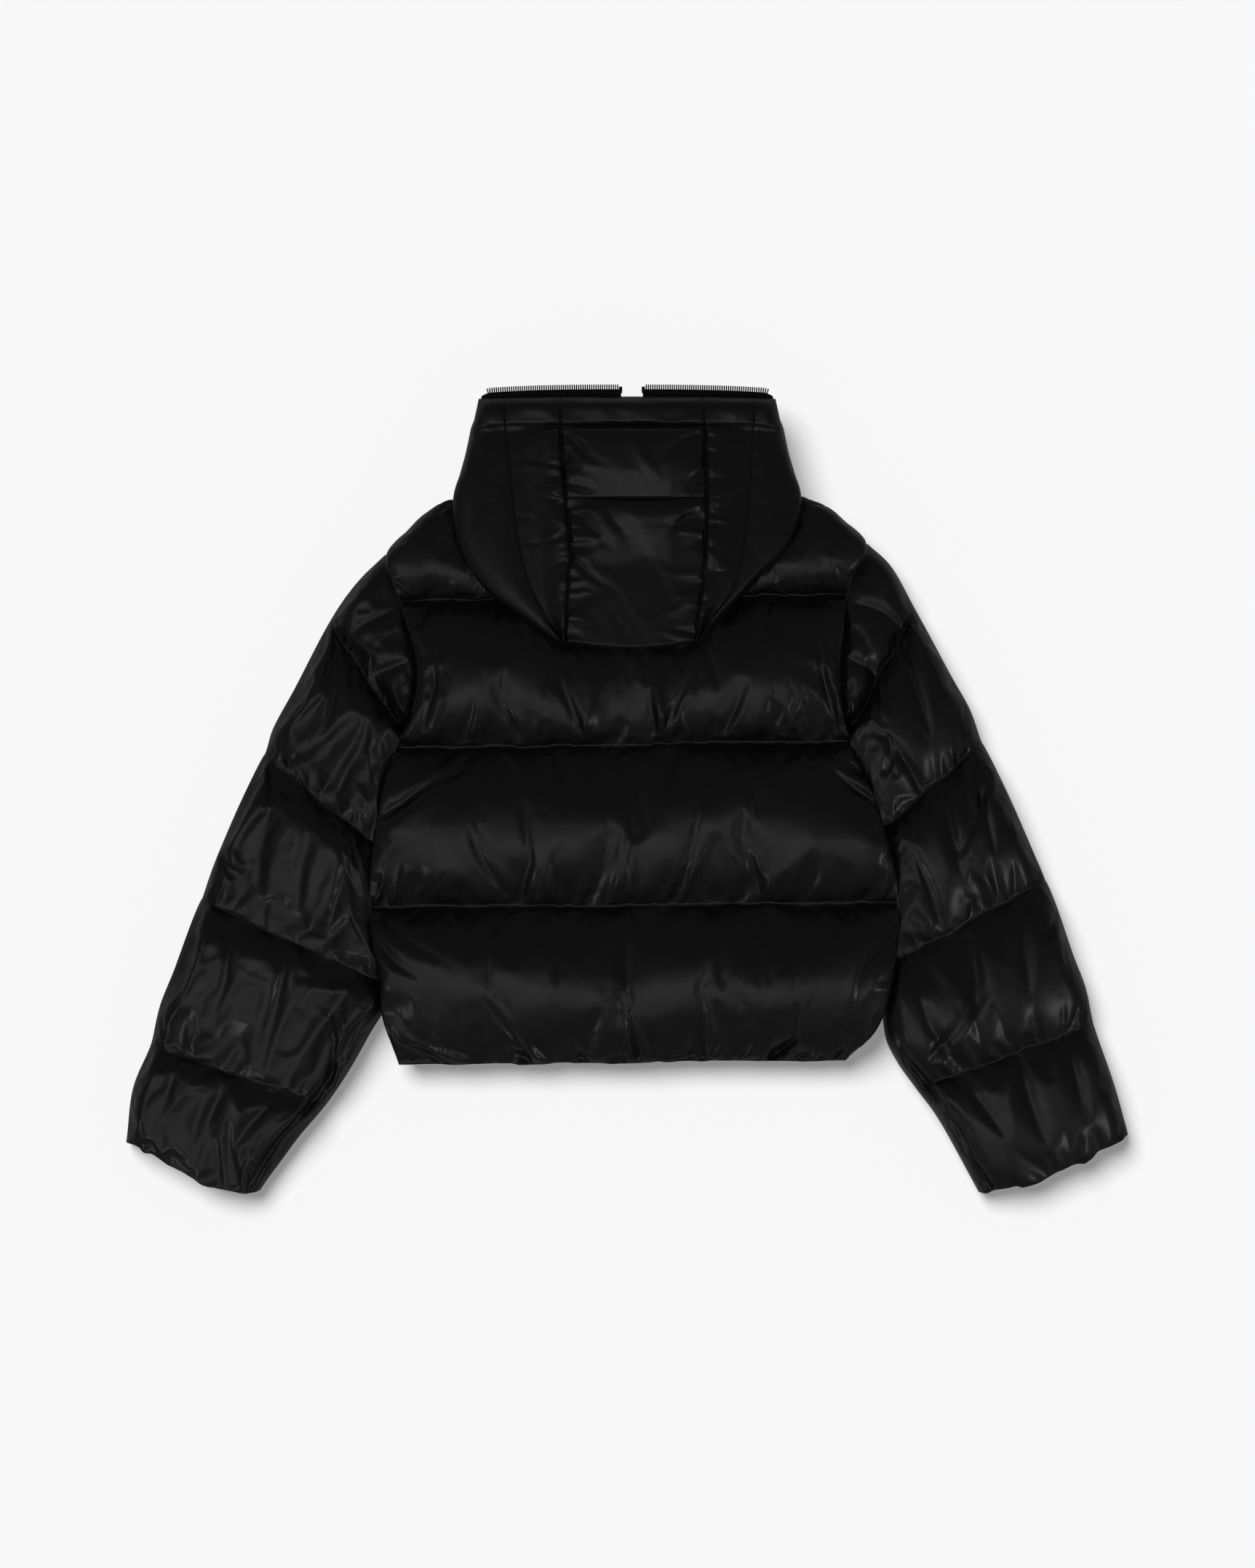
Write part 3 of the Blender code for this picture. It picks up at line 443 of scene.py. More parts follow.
def addNode(tree, kind, values=(), **settings):
    node = tree.nodes.new(kind)
    for name, value in settings.items():
        setattr(node, name, value)
    setInputs(node, dict(values))
    return node


def linkSockets(tree, *pairs):
    for source, target in pairs:
        tree.links.new(source, target)


def startMaterial(name):
    material = bpy.data.materials.new(name)
    material.use_nodes = True
    return material, material.node_tree, material.node_tree.nodes["Principled BSDF"]


crinkleLook = {
    "wide": {"Detail": 3.0, "Roughness": 0.55, "Distortion": 0.6},
    "fine": {"Detail": 4.0, "Roughness": 0.6, "Distortion": 0.3},
    "finer": 3.4, "fineShare": 0.22, "weaveShare": 0.012,
}


def crinkleGroup():
    # fine creases of a coated cloth: a height for bump and a mask for gloss
    tree = bpy.data.node_groups.new("coatedCrinkle", "ShaderNodeTree")
    for name, way in (("Size", "INPUT"), ("Weave", "INPUT"), ("Height", "OUTPUT"), ("Patches", "OUTPUT")):
        tree.interface.new_socket(name, in_out=way, socket_type="NodeSocketFloat")
    entry = addNode(tree, "NodeGroupInput")
    leave = addNode(tree, "NodeGroupOutput")
    where = addNode(tree, "ShaderNodeTexCoord")
    wide = addNode(tree, "ShaderNodeTexNoise", crinkleLook["wide"])
    fine = addNode(tree, "ShaderNodeTexNoise", crinkleLook["fine"])
    finer = addNode(tree, "ShaderNodeMath", {1: crinkleLook["finer"]}, operation="MULTIPLY")
    crossing = addNode(tree, "ShaderNodeMath", operation="MULTIPLY")
    creases = addNode(tree, "ShaderNodeMath", {1: crinkleLook["fineShare"]}, operation="MULTIPLY_ADD")
    total = addNode(tree, "ShaderNodeMath", {1: crinkleLook["weaveShare"]}, operation="MULTIPLY_ADD")
    for number, way in enumerate(("X", "Y")):
        threads = addNode(tree, "ShaderNodeTexWave", bands_direction=way)
        linkSockets(
            tree,
            (where.outputs["UV"], threads.inputs["Vector"]),
            (entry.outputs["Weave"], threads.inputs["Scale"]),
            (threads.outputs["Fac"], crossing.inputs[number]),
        )
    linkSockets(
        tree,
        (entry.outputs["Size"], wide.inputs["Scale"]),
        (entry.outputs["Size"], finer.inputs[0]),
        (finer.outputs[0], fine.inputs["Scale"]),
        (where.outputs["Object"], wide.inputs["Vector"]),
        (where.outputs["Object"], fine.inputs["Vector"]),
        (fine.outputs["Fac"], creases.inputs[0]),
        (wide.outputs["Fac"], creases.inputs[2]),
        (crossing.outputs[0], total.inputs[0]),
        (creases.outputs[0], total.inputs[2]),
        (total.outputs[0], leave.inputs["Height"]),
        (wide.outputs["Fac"], leave.inputs["Patches"]),
    )
    return tree


nylonLook = {
    "colourDeep": (0.0085, 0.0085, 0.0086, 1.0), "colourWorn": (0.0135, 0.0135, 0.0132, 1.0),
    "patchesFrom": 0.35, "patchesTo": 0.65, "roughFrom": 0.33, "roughTo": 0.45,
    "coat": 0.35, "coatRough": 0.20,
    "crinkleSize": 34.0, "weaveScale": 900.0,
    "bumpStrength": 0.30, "bumpDistance": 0.0016,
}


def makeNylon(name, look, crinkle):
    material, tree, shader = startMaterial(name)
    sizes = {"Size": look["crinkleSize"], "Weave": look["weaveScale"]}
    group = addNode(tree, "ShaderNodeGroup", sizes, node_tree=crinkle)
    colours = {6: look["colourDeep"], 7: look["colourWorn"]}
    colour = addNode(tree, "ShaderNodeMix", colours, data_type="RGBA")
    gloss = addNode(tree, "ShaderNodeMapRange", {
        "From Min": look["patchesFrom"], "From Max": look["patchesTo"],
        "To Min": look["roughFrom"], "To Max": look["roughTo"],
    })
    relief = {"Strength": look["bumpStrength"], "Distance": look["bumpDistance"]}
    bump = addNode(tree, "ShaderNodeBump", relief)
    linkSockets(
        tree,
        (group.outputs["Patches"], colour.inputs[0]),
        (group.outputs["Patches"], gloss.inputs["Value"]),
        (group.outputs["Height"], bump.inputs["Height"]),
        (colour.outputs[2], shader.inputs["Base Color"]),
        (gloss.outputs["Result"], shader.inputs["Roughness"]),
        (bump.outputs["Normal"], shader.inputs["Normal"]),
    )
    setInputs(shader, {"Coat Weight": look["coat"], "Coat Roughness": look["coatRough"]})
    return material


def makePlain(name, look):
    material, tree, shader = startMaterial(name)
    setInputs(shader, look)
    return material


plainLooks = {
    "zipTape": {"Base Color": (0.008, 0.008, 0.008, 1.0), "Roughness": 0.45, "Metallic": 0.0},
    "zipMetal": {"Base Color": (0.06, 0.06, 0.062, 1.0), "Roughness": 0.35, "Metallic": 1.0},
    # the thread's light grey is partly real thread and partly a painted highlight: the glint of stitched
    # seams catching light
    "quiltThreadPaintedGlint": {"Base Color": (0.08, 0.08, 0.078, 1.0), "Roughness": 0.4, "Metallic": 0.0},
}
nylon = makeNylon("wetLookNylon", nylonLook, crinkleGroup())
tape, metal, threadWithPaintedGlint = [makePlain(name, look) for name, look in plainLooks.items()]


# the back
back = {
    "columns": 200, "rowsPerChannel": 54,
    "lengths": (153.0, 152.0, 140.0, 95.0),          # of the channels, hem to neck, in mm
    "fullness": (2.3, 2.4, 2.4, 2.4), "lean": (1.7, 1.0, 1.0, 1.0),
    "crestWaves": ((2.5, 90.0, 7),),
    "evenSeams": ((0.9, 14.0, 60), (0.9, 33.0, 61)), "oddSeams": ((0.8, 11.0, 62), (1.1, 41.0, 63)),
    "edgeRound": 12.0, "shoulderRound": 20.0, "sideNose": 43.5, "sideDrop": 6.0, "lastRound": 1.0,
    "hoodMargin": 0.5, "hoodSlope": 0.30, "hoodPress": 0.4, "hoodBlend": 9.0,
    "foldShares": (1.1, 1.1, 1.0, 0.9),
    "lowerFolds": ((44.0, 50.0, 8.5), (21.0, 32.0, 5.2), (10.0, 14.0, 1.8)),
    "upperFolds": ((44.0, 30.0, 5.0), (19.0, 15.0, 2.6), (9.0, 8.0, 1.0)),
    "hemFolds": ((40.0, 50.0, 8.0), (20.0, 30.0, 5.5), (10.0, 15.0, 3.0)),
    "sideFolds": ((44.0, 34.0, 6.0), (20.0, 18.0, 2.6)),
    "creases": (
        # half width, depth, then the line from its tip to its foot
        (5.0, 5.0, ((-182.0, 150.0), (-182.0, 100.0), (-196.0, 52.0))),
        (4.5, 3.4, ((-64.0, 104.0), (-54.0, 84.0), (-44.0, 54.0))),
        (4.0, 3.0, ((-128.0, 100.0), (-118.0, 80.0), (-104.0, 52.0))),
        (4.5, 3.4, ((112.0, 104.0), (104.0, 82.0), (88.0, 52.0))),
        (5.0, 5.0, ((20.0, 104.0), (22.0, 84.0), (26.0, 54.0))),
        (4.0, 4.0, ((58.0, 112.0), (46.0, 84.0), (34.0, 54.0))),
        (5.0, 5.0, ((176.0, 160.0), (186.0, 104.0), (202.0, 52.0))),
        (4.0, 4.0, ((198.0, 136.0), (202.0, 96.0), (209.0, 56.0))),
        (8.0, 8.0, ((-120.0, 36.0), (-180.0, 10.0), (-242.0, -30.0))),
        (5.0, 8.0, ((170.0, 42.0), (203.0, 12.0), (256.0, -26.0))),
        (4.5, 7.0, ((182.0, 46.0), (218.0, 22.0), (260.0, 0.0))),
        (5.0, 3.6, ((-152.0, -30.0), (-138.0, -62.0), (-112.0, -104.0))),
        (4.5, 3.4, ((-94.0, -36.0), (-92.0, -66.0), (-104.0, -104.0))),
        (4.2, 5.0, ((0.0, -36.0), (-2.0, -68.0), (-4.0, -106.0))),
        (4.5, 4.0, ((66.0, -34.0), (56.0, -66.0), (52.0, -104.0))),
        (5.0, 3.6, ((104.0, -40.0), (116.0, -66.0), (126.0, -100.0))),
        (7.0, 5.0, ((-140.0, -172.0), (-200.0, -146.0), (-244.0, -108.0))),
        (5.5, 4.5, ((-172.0, -186.0), (-216.0, -162.0), (-248.0, -126.0))),
        (6.0, 4.5, ((206.0, -226.0), (226.0, -160.0), (254.0, -112.0))),
    ),
    "pleats": (
        # the same columns
        (5.0, 6.8, ((-220.0, -232.0), (-160.0, -264.0), (-146.0, -285.0))),
        (5.0, 6.1, ((-144.0, -206.0), (-92.0, -260.0), (-78.0, -285.0))),
        (4.6, 6.0, ((-146.0, -188.0), (-129.0, -200.0), (-100.0, -241.0), (-80.0, -285.0))),
        (4.5, 6.1, ((-58.0, -220.0), (-41.0, -258.0), (-30.0, -285.0))),
        (3.6, 8.0, ((-12.0, -176.0), (1.5, -212.0), (9.5, -246.0), (18.0, -285.0))),
        (4.0, 6.1, ((-10.0, -212.0), (-2.0, -258.0), (4.0, -285.0))),
        (4.0, 6.8, ((64.0, -212.0), (60.5, -258.0), (60.0, -285.0))),
        (4.2, 6.5, ((69.0, -182.0), (72.0, -225.0), (70.0, -285.0))),
        (4.5, 6.1, ((98.0, -214.0), (78.0, -248.0), (66.0, -285.0))),
        (4.5, 6.1, ((126.0, -226.0), (100.0, -256.0), (84.0, -285.0))),
        (4.8, 8.8, ((161.0, -190.0), (159.0, -234.0), (132.0, -256.0), (110.0, -285.0))),
        (4.5, 6.1, ((190.0, -232.0), (155.0, -258.0), (138.0, -285.0))),
        (5.0, 6.8, ((230.0, -222.0), (190.0, -256.0), (170.0, -285.0))),
    ),
    "rims": (
        (0.75, 0.0005, 0.0005, 0.0005, 0.0), (0.45, 0.003, 0.003, 0.003, 0.0005),
        (0.2, 0.008, 0.008, 0.008, 0.001), (0.0, 0.02, 0.02, 0.016, 0.002),
    ),
    "weave": (480.0, 135.0), "fill": 0.8,
    "cloth": {"bending": 0.4, "pressure": 4.0, "slack": 0.018, "frames": 14, "cap": 8.0},
}


def backPlan(u, v):
    leftX, leftY, rightX, rightY, tuck = tableAt(backRows, v)
    x, y = mix(leftX, rightX, u), mix(leftY, rightY, u)
    seam = np.round(v)
    atSeam = bell((v - seam) * 30.0) * clipped(8.0 * np.minimum(u, 1.0 - u))
    bend = np.where(seam % 2 == 0, wobble(x, back["evenSeams"]), wobble(x, back["oddSeams"]))
    return x, y + bend * atSeam


def backSpan(v):
    leftX, leftY, rightX, rightY, tuck = tableAt(backRows, v)
    return rightX - leftX


def backOutline():
    steps = np.linspace(0.0, 4.0, 61)
    left = np.stack(backPlan(np.zeros_like(steps), steps), axis=-1)
    right = np.stack(backPlan(np.ones_like(steps), steps[::-1]), axis=-1)
    return np.concatenate([left, right])


def hoodLine(v, line):
    columns = tableAt(hoodRows, v)
    return columns[2 * line], columns[2 * line + 1]


def hoodOutline():
    steps = np.linspace(0.0, 2.0, 41)
    left = np.stack(hoodLine(steps, 0), axis=-1)
    share = np.linspace(0.05, 0.95, 19)
    crownX = mix(left[-1, 0], left[-1, 0] + crownSpan, share)
    crown = np.stack([crownX, crownY - hoodSag * np.sin(np.pi * share)], axis=-1)
    right = np.stack(hoodLine(steps[::-1], 5), axis=-1)
    return np.concatenate([left, crown, right])


backEdge = backOutline()
hoodEdge = hoodOutline()


def backTop(u, v, x, y):
    channel = np.minimum(v.astype(int), 3)
    share = v - channel
    low = np.where(channel == 0, heights["hemNose"], heights["backSeam"])
    high = np.where(channel == 3, heights["neck"], heights["backSeam"])
    base = mix(low, high, share)
    swell = puff(share ** np.array(back["lean"])[channel], np.array(back["fullness"])[channel])
    height = base + (np.array(channelCrests)[channel] + wobble(x, back["crestWaves"]) - base) * swell
    length = np.array(back["lengths"])[channel]
    below, above = share * length, (1.0 - share) * length
    for number in range(4):
        here = channel == number
        lower = back["hemFolds"] if number == 0 else back["lowerFolds"]
        height[here] += back["foldShares"][number] * seamFolds(x[here], below[here], lower, 11 + number)
        if number < 3:
            height[here] += seamFolds(x[here], above[here], back["upperFolds"], 21 + number)
    height += creasesAt(x, y, back["creases"]) * puff(share)
    height += creasesAt(x, y, back["pleats"]) * (channel == 0) * smooth((below + 3.0) / 12.0)
    side = np.minimum(u, 1.0 - u) * backSpan(v)
    height += seamFolds(y, side, back["sideFolds"], 31) * puff(share)
    # the sides drop to a blunt edge, softer over the shoulders, then turn under
    shoulder = smooth((v - 3.3) / 0.25)
    sideNose = np.maximum(back["sideNose"], height - back["sideDrop"])
    nose = np.minimum(mix(sideNose, heights["backNose"] + 3.0, shoulder), height)
    height = mix(nose, height, rounded(side, mix(back["edgeRound"], back["shoulderRound"], shoulder)))
    height -= (1.0 - rounded(side, back["lastRound"])) * back["lastRound"] * smooth((3.5 - v) / 0.2)
    # the hood lies on it and presses it down
    beside = np.maximum(0.0, outside(x, y, hoodEdge) - back["hoodMargin"])
    pressed = heights["underHood"] - back["hoodPress"] + back["hoodSlope"] * beside
    return softLower(height, pressed, back["hoodBlend"])


def makeBack():
    # one more column close to each side, for the edge to turn in
    uSteps = np.insert(eased(back["columns"], 0.35), [1, back["columns"]], [0.0007, 0.9993])
    piece = startGrid("backPanel", uSteps, channelSteps(4, back["rowsPerChannel"]))
    u, v = gridNumbers(piece)
    x, y = backPlan(u, v)
    writePoints(piece.data, place(x, y, backTop(u, v, x, y)))
    sewn = np.abs(v - np.round(v)) < tiny
    sewn |= (u < tiny) | (u > 1.0 - tiny)
    sewn |= outside(x, y, hoodEdge) < -8.0
    puffUp(piece, sewn, back["cloth"])
    closeBelow(piece, backPlan, back["rims"], (0.0, 1.0), (0.0, 4.0), heights["backFloor"])
    layUv(piece, *back["weave"])
    finishPadded(piece, "back")


makeBack()
print("back done")


# the sleeves
sleeve = {
    "topColumns": 84, "rowsPerBaffle": 46, "baffleLength": 98.0,
    "edgeRound": 22.0, "underBack": 6.0, "shoulderReach": 3.0,
    "crestAt": 0.31, "seamHeight": 34.0, "armholeLift": 8.5, "bulge": 2.2,
    "folds": (
        # s, w, run in s, half width in w, depth, slant in w over one s
        (0.45, 0.30, 0.42, 0.040, 4.0, -0.20), (0.55, 0.62, 0.42, 0.040, 4.0, -0.10),
        (1.30, 0.30, 0.46, 0.040, 4.5, 0.10), (1.72, 0.58, 0.44, 0.040, 5.0, -0.15),
        (1.40, 0.80, 0.50, 0.040, 4.0, 0.05), (2.25, 0.18, 0.46, 0.035, 4.5, 0.15),
        (2.30, 0.44, 0.48, 0.040, 5.0, 0.10), (2.76, 0.66, 0.46, 0.040, 5.0, -0.15),
        (3.24, 0.22, 0.46, 0.035, 4.5, 0.15), (3.30, 0.50, 0.50, 0.036, 5.0, 0.15),
        (3.72, 0.76, 0.46, 0.040, 5.0, -0.10), (4.26, 0.20, 0.40, 0.035, 4.0, 0.10),
        (4.30, 0.48, 0.44, 0.036, 4.5, 0.05), (4.28, 0.74, 0.40, 0.035, 4.0, -0.10),
    ),
    "longFolds": ((34.0, 56.0, 5.5), (17.0, 34.0, 3.2), (9.0, 12.0, 1.2)),
    "seamFolds": ((40.0, 34.0, 5.0), (18.0, 20.0, 2.8), (9.0, 9.0, 1.0)),
    "cuffFolds": ((36.0, 34.0, 4.5), (18.0, 20.0, 2.6), (9.0, 9.0, 1.0)),
    "edgeFolds": ((34.0, 24.0, 1.8), (16.0, 12.0, 0.9)),
    "creases": (
        # half width, depth, then the line from its tip to its foot
        (3.0, 4.5, ((-264.0, -36.0), (-257.0, -64.0), (-247.0, -98.0))),
        (3.0, 4.0, ((-273.0, -48.0), (-264.0, -78.0), (-251.0, -108.0))),
        (4.5, 6.0, ((-304.0, -200.0), (-284.0, -214.0), (-277.0, -236.0), (-284.0, -286.0))),
        (5.0, 4.5, ((-402.0, -18.0), (-392.0, -50.0), (-372.0, -84.0))),
        (4.0, 5.0, ((228.0, 58.0), (246.0, 54.0), (250.0, 36.0), (243.0, 14.0))),
        (6.0, 4.0, ((352.0, -174.0), (318.0, -214.0), (284.0, -258.0))),
        (5.0, 5.0, ((346.0, 28.0), (334.0, -14.0), (312.0, -62.0))),
        (4.0, 4.0, ((416.0, -96.0), (408.0, -118.0), (396.0, -142.0))),
    ),
    # the lower edge, from its outermost line inwards: how far in, and height
    "hem": ((1.2, 6.5), (3.2, 3.2), (5.8, 1.0), (9.0, 0.0)),
    "slitMiddle": 12.0,
    # the inside, from the cuff in: s, how far in from the edges, half height
    "slitRings": (
        (5.0, 8.0, 8.0), (4.97, 15.0, 6.0), (4.8, 15.0, 3.6),
        (4.55, 15.0, 1.0), (3.6, 15.0, 1.0), (2.4, 15.0, 1.0), (1.2, 15.0, 1.0),
    ),
    "underSeam": {"from": 3.2, "full": 3.8, "distance": 12.0, "width": 4.5, "depth": 8.0},
    "tuck": {"under": 3.5, "rise": 20.0, "riseIn": 4.6, "riseRun": 1.6,
             "swell": 14.0, "swellIn": 1.0, "swellRun": 50.0},
    "weave": (2.1, 98.0), "fill": 0.8,
    "cloth": {"bending": 0.5, "pressure": 4.0, "slack": 0.012, "frames": 14, "cap": 8.0},
}


def armhole(side, w):
    x, y = backPlan(np.full_like(w, 0.0 if side < 0 else 1.0), mix(shoulderV, armpitV, w))
    reach = sleeve["shoulderReach"] * clipped(1.0 - w / 0.2) ** 2
    return x + side * (reach - sleeve["underBack"] * smooth(w / 0.15)), y + reach


def sleevePlan(side, table, w, s):
    # s counts the baffles from the armhole, w runs from the outer edge to the underarm
    outerX, outerY, innerX, innerY, bow = tableAt(table, s)
    x, y = mix(outerX, innerX, w), mix(outerY, innerY, w)
    first = table[0]
    seamX, seamY = armhole(side, w)
    fading = clipped(1.0 - s) ** 1.5
    x -= side * sleeve["underBack"] * (1.0 - fading) * clipped(2.2 - s) * clipped(10.0 * w - 9.0)
    x += (seamX - mix(first[1], first[3], w)) * fading
    y += (seamY - mix(first[2], first[4], w)) * fading
    length = np.hypot(innerX - outerX, innerY - outerY)
    across = w * length
    bulge = sleeve["bulge"] * np.sin(np.pi * np.mod(s, 1.0) ** 0.6) * clipped(1.0 - w) ** 5
    bulge *= (s > 2.0) & (s < 4.0)
    x += 0.88 * side * bulge
    y += 0.48 * bulge
    # the rows bow towards the cuff, and the cuff and the seams wander
    reach = bow * np.sin(np.pi * clipped(w) ** bowLean)
    reach += clipped(s - 4.0) ** 6 * wobble(across, ((3.2, 24.0, 91 + side), (1.6, 11.0, 93 + side)))
    seam = np.round(s)
    atSeam = bell((s - seam) * 22.0) * (seam > 0) * (seam < 5) * clipped(8.0 * np.minimum(w, 1.0 - w))
    reach += atSeam * wobble(across, ((1.1, 13.0, 101 + 7 * side), (1.1, 36.0, 103 + side)))
    x += side * reach * np.abs(innerY - outerY) / length
    y -= reach * np.abs(innerX - outerX) / length
    return x, y


def sleeveTop(side, table, w, s):
    outerX, outerY, innerX, innerY, bow = tableAt(table, s)
    length = np.hypot(innerX - outerX, innerY - outerY)
    baffle = np.minimum(s.astype(int), 4)
    share = s - baffle
    crest = np.array(baffleCrests)[baffle] + wobble(w * length, ((2.5, 70.0, 71 + side),))
    seam = sleeve["seamHeight"] + sleeve["armholeLift"] * clipped(1.0 - s)
    crestAt = mix(0.5, sleeve["crestAt"], clipped(2.0 * s - 1.0))
    swell = 1.0 - np.abs((share - crestAt) / np.where(share < crestAt, crestAt, 1.0 - crestAt)) ** 2.1
    height = mix(seam, crest, swell)
    for foldS, foldW, run, width, deep, slant in sleeve["folds"]:
        height -= deep * trough(s - foldS, w - foldW - slant * (s - foldS), run, width) * puff(share)
    across = w * length + 40.0 * baffle
    below, above = share * sleeve["baffleLength"], (1.0 - share) * sleeve["baffleLength"]
    for number in range(5):
        here = baffle == number
        key = 120 + 10 * number + side
        high = sleeve["cuffFolds"] if number == 4 else sleeve["seamFolds"]
        height[here] += seamFolds(across[here], below[here], sleeve["longFolds"], key)
        height[here] += seamFolds(across[here], above[here], high, key + 5)
    sideways = np.minimum(w, 1.0 - w) * length
    along = s * sleeve["baffleLength"]
    height += seamFolds(along, sideways, sleeve["edgeFolds"], 180 + side) * puff(share)
    under = sleeve["underSeam"]
    near = clipped((s - under["from"]) / (under["full"] - under["from"]))
    inward = (1.0 - w) * length
    height -= near * under["depth"] * bell((inward - under["distance"]) / under["width"])
    height = mix(heights["sleeveNose"], height, rounded(sideways, sleeve["edgeRound"], 2.6))
    x, y = sleevePlan(side, table, w, s)
    height += creasesAt(x, y, sleeve["creases"]) * smooth(sideways / 14.0)
    # it starts under the back's edge, comes up beside it and swells from there
    tuck = sleeve["tuck"]
    beyond = outside(x, y, backEdge)
    beside = clipped((beyond + tuck["riseIn"]) / tuck["riseRun"])
    tucked = heights["backFloor"] - tuck["under"] + tuck["rise"] * beside
    tucked += tuck["swell"] * (1.0 - (1.0 - clipped((beyond + tuck["swellIn"]) / tuck["swellRun"])) ** 2)
    return np.minimum(height, tucked)


def sleeveLine(side, table, column, s, inset, flatHeight):
    # a point of the ring round a sleeve, by the number of its column; the first columns are its upper side
    count, hem = sleeve["topColumns"], sleeve["hem"]
    w = np.interp(column, np.arange(count + 1), eased(count, 0.4))
    wLow = np.array([1.0] * len(hem) + [0.75, 0.5, 0.25] + [0.0] * len(hem))
    inLow, zLow = np.array([*hem, *[(0.0, 0.0)] * 3, *reversed(hem)]).T
    low = np.maximum(column - count - 1, 0).astype(int)
    isLow = column > count + 0.5
    w = np.where(isLow, wLow[low], w)
    outerX, outerY, innerX, innerY, bow = tableAt(table, s)
    length = np.hypot(innerX - outerX, innerY - outerY)
    drawn = (inset + np.where(isLow, inLow[low], 0.0)) / length
    x, y = sleevePlan(side, table, mix(drawn, 1.0 - drawn, w), s)
    if flatHeight is None:
        z = np.where(isLow, zLow[low], sleeveTop(side, table, w, s))
    else:
        edge = 0.2 + 0.8 * np.minimum(1.0, 8.0 * np.minimum(w, 1.0 - w))
        z = sleeve["slitMiddle"] + np.where(isLow, -1.0, edge) * flatHeight
    return place(x, y, z)


def drawRing(bm, edges, uLayer, vLayer, side, table, at, inset, half):
    verts, border = growRing(bm, edges)
    column = np.array([vert[uLayer] for vert in verts])
    spots = sleeveLine(side, table, column, np.full(len(verts), at), inset, half)
    for vert, spot in zip(verts, spots):
        vert.co = spot
        vert[vLayer] = at
    return border


def makeSleeve(side, table, name, node):
    # a grid joined into a tube, lined from the cuff to the armhole by rings drawn inwards
    count = sleeve["topColumns"] + 1 + 2 * len(sleeve["hem"]) + 3
    piece = startGrid(name, np.arange(count + 1, dtype=float), channelSteps(5, sleeve["rowsPerBaffle"]))
    bm, uLayer, vLayer = openMesh(piece)
    for vert in bm.verts:
        if vert[uLayer] == count:
            vert[uLayer] = 0.0
            vert.co.x = -0.5
    bmesh.ops.remove_doubles(bm, verts=bm.verts, dist=tiny)
    bm.to_mesh(piece.data)
    bm.free()
    column, s = gridNumbers(piece)
    points = sleeveLine(side, table, column, s, 0.0, None)
    writePoints(piece.data, points)
    sewn = (np.abs(s - np.round(s)) < tiny) | (column < 1.5) | (column > sleeve["topColumns"] - 1.5)
    x, y = points[:, 0] / mm - shift[0], points[:, 1] / mm - shift[1]
    sewn |= outside(x, y, backEdge) < 6.0
    puffUp(piece, sewn, sleeve["cloth"])
    bm, uLayer, vLayer = openMesh(piece)
    ends = [edge for edge in bm.edges if edge.is_boundary]
    cuff = [edge for edge in ends if edge.verts[0][vLayer] > 4.99]
    root = [edge for edge in ends if edge.verts[0][vLayer] < 0.01]
    for at, inset, half in sleeve["slitRings"]:
        cuff = drawRing(bm, cuff, uLayer, vLayer, side, table, at, inset, half)
    root = drawRing(bm, root, uLayer, vLayer, side, table, 0.0, *sleeve["slitRings"][-1][1:])
    bmesh.ops.bridge_loops(bm, edges=cuff + root)
    bmesh.ops.recalc_face_normals(bm, faces=bm.faces)
    bm.to_mesh(piece.data)
    bm.free()
    layUv(piece, *sleeve["weave"])
    finishPadded(piece, node)


makeSleeve(-1, sleeveLeft, "leftSleeve", "sleeve_left")
makeSleeve(1, sleeveRight, "rightSleeve", "sleeve_right")
print("sleeves done")


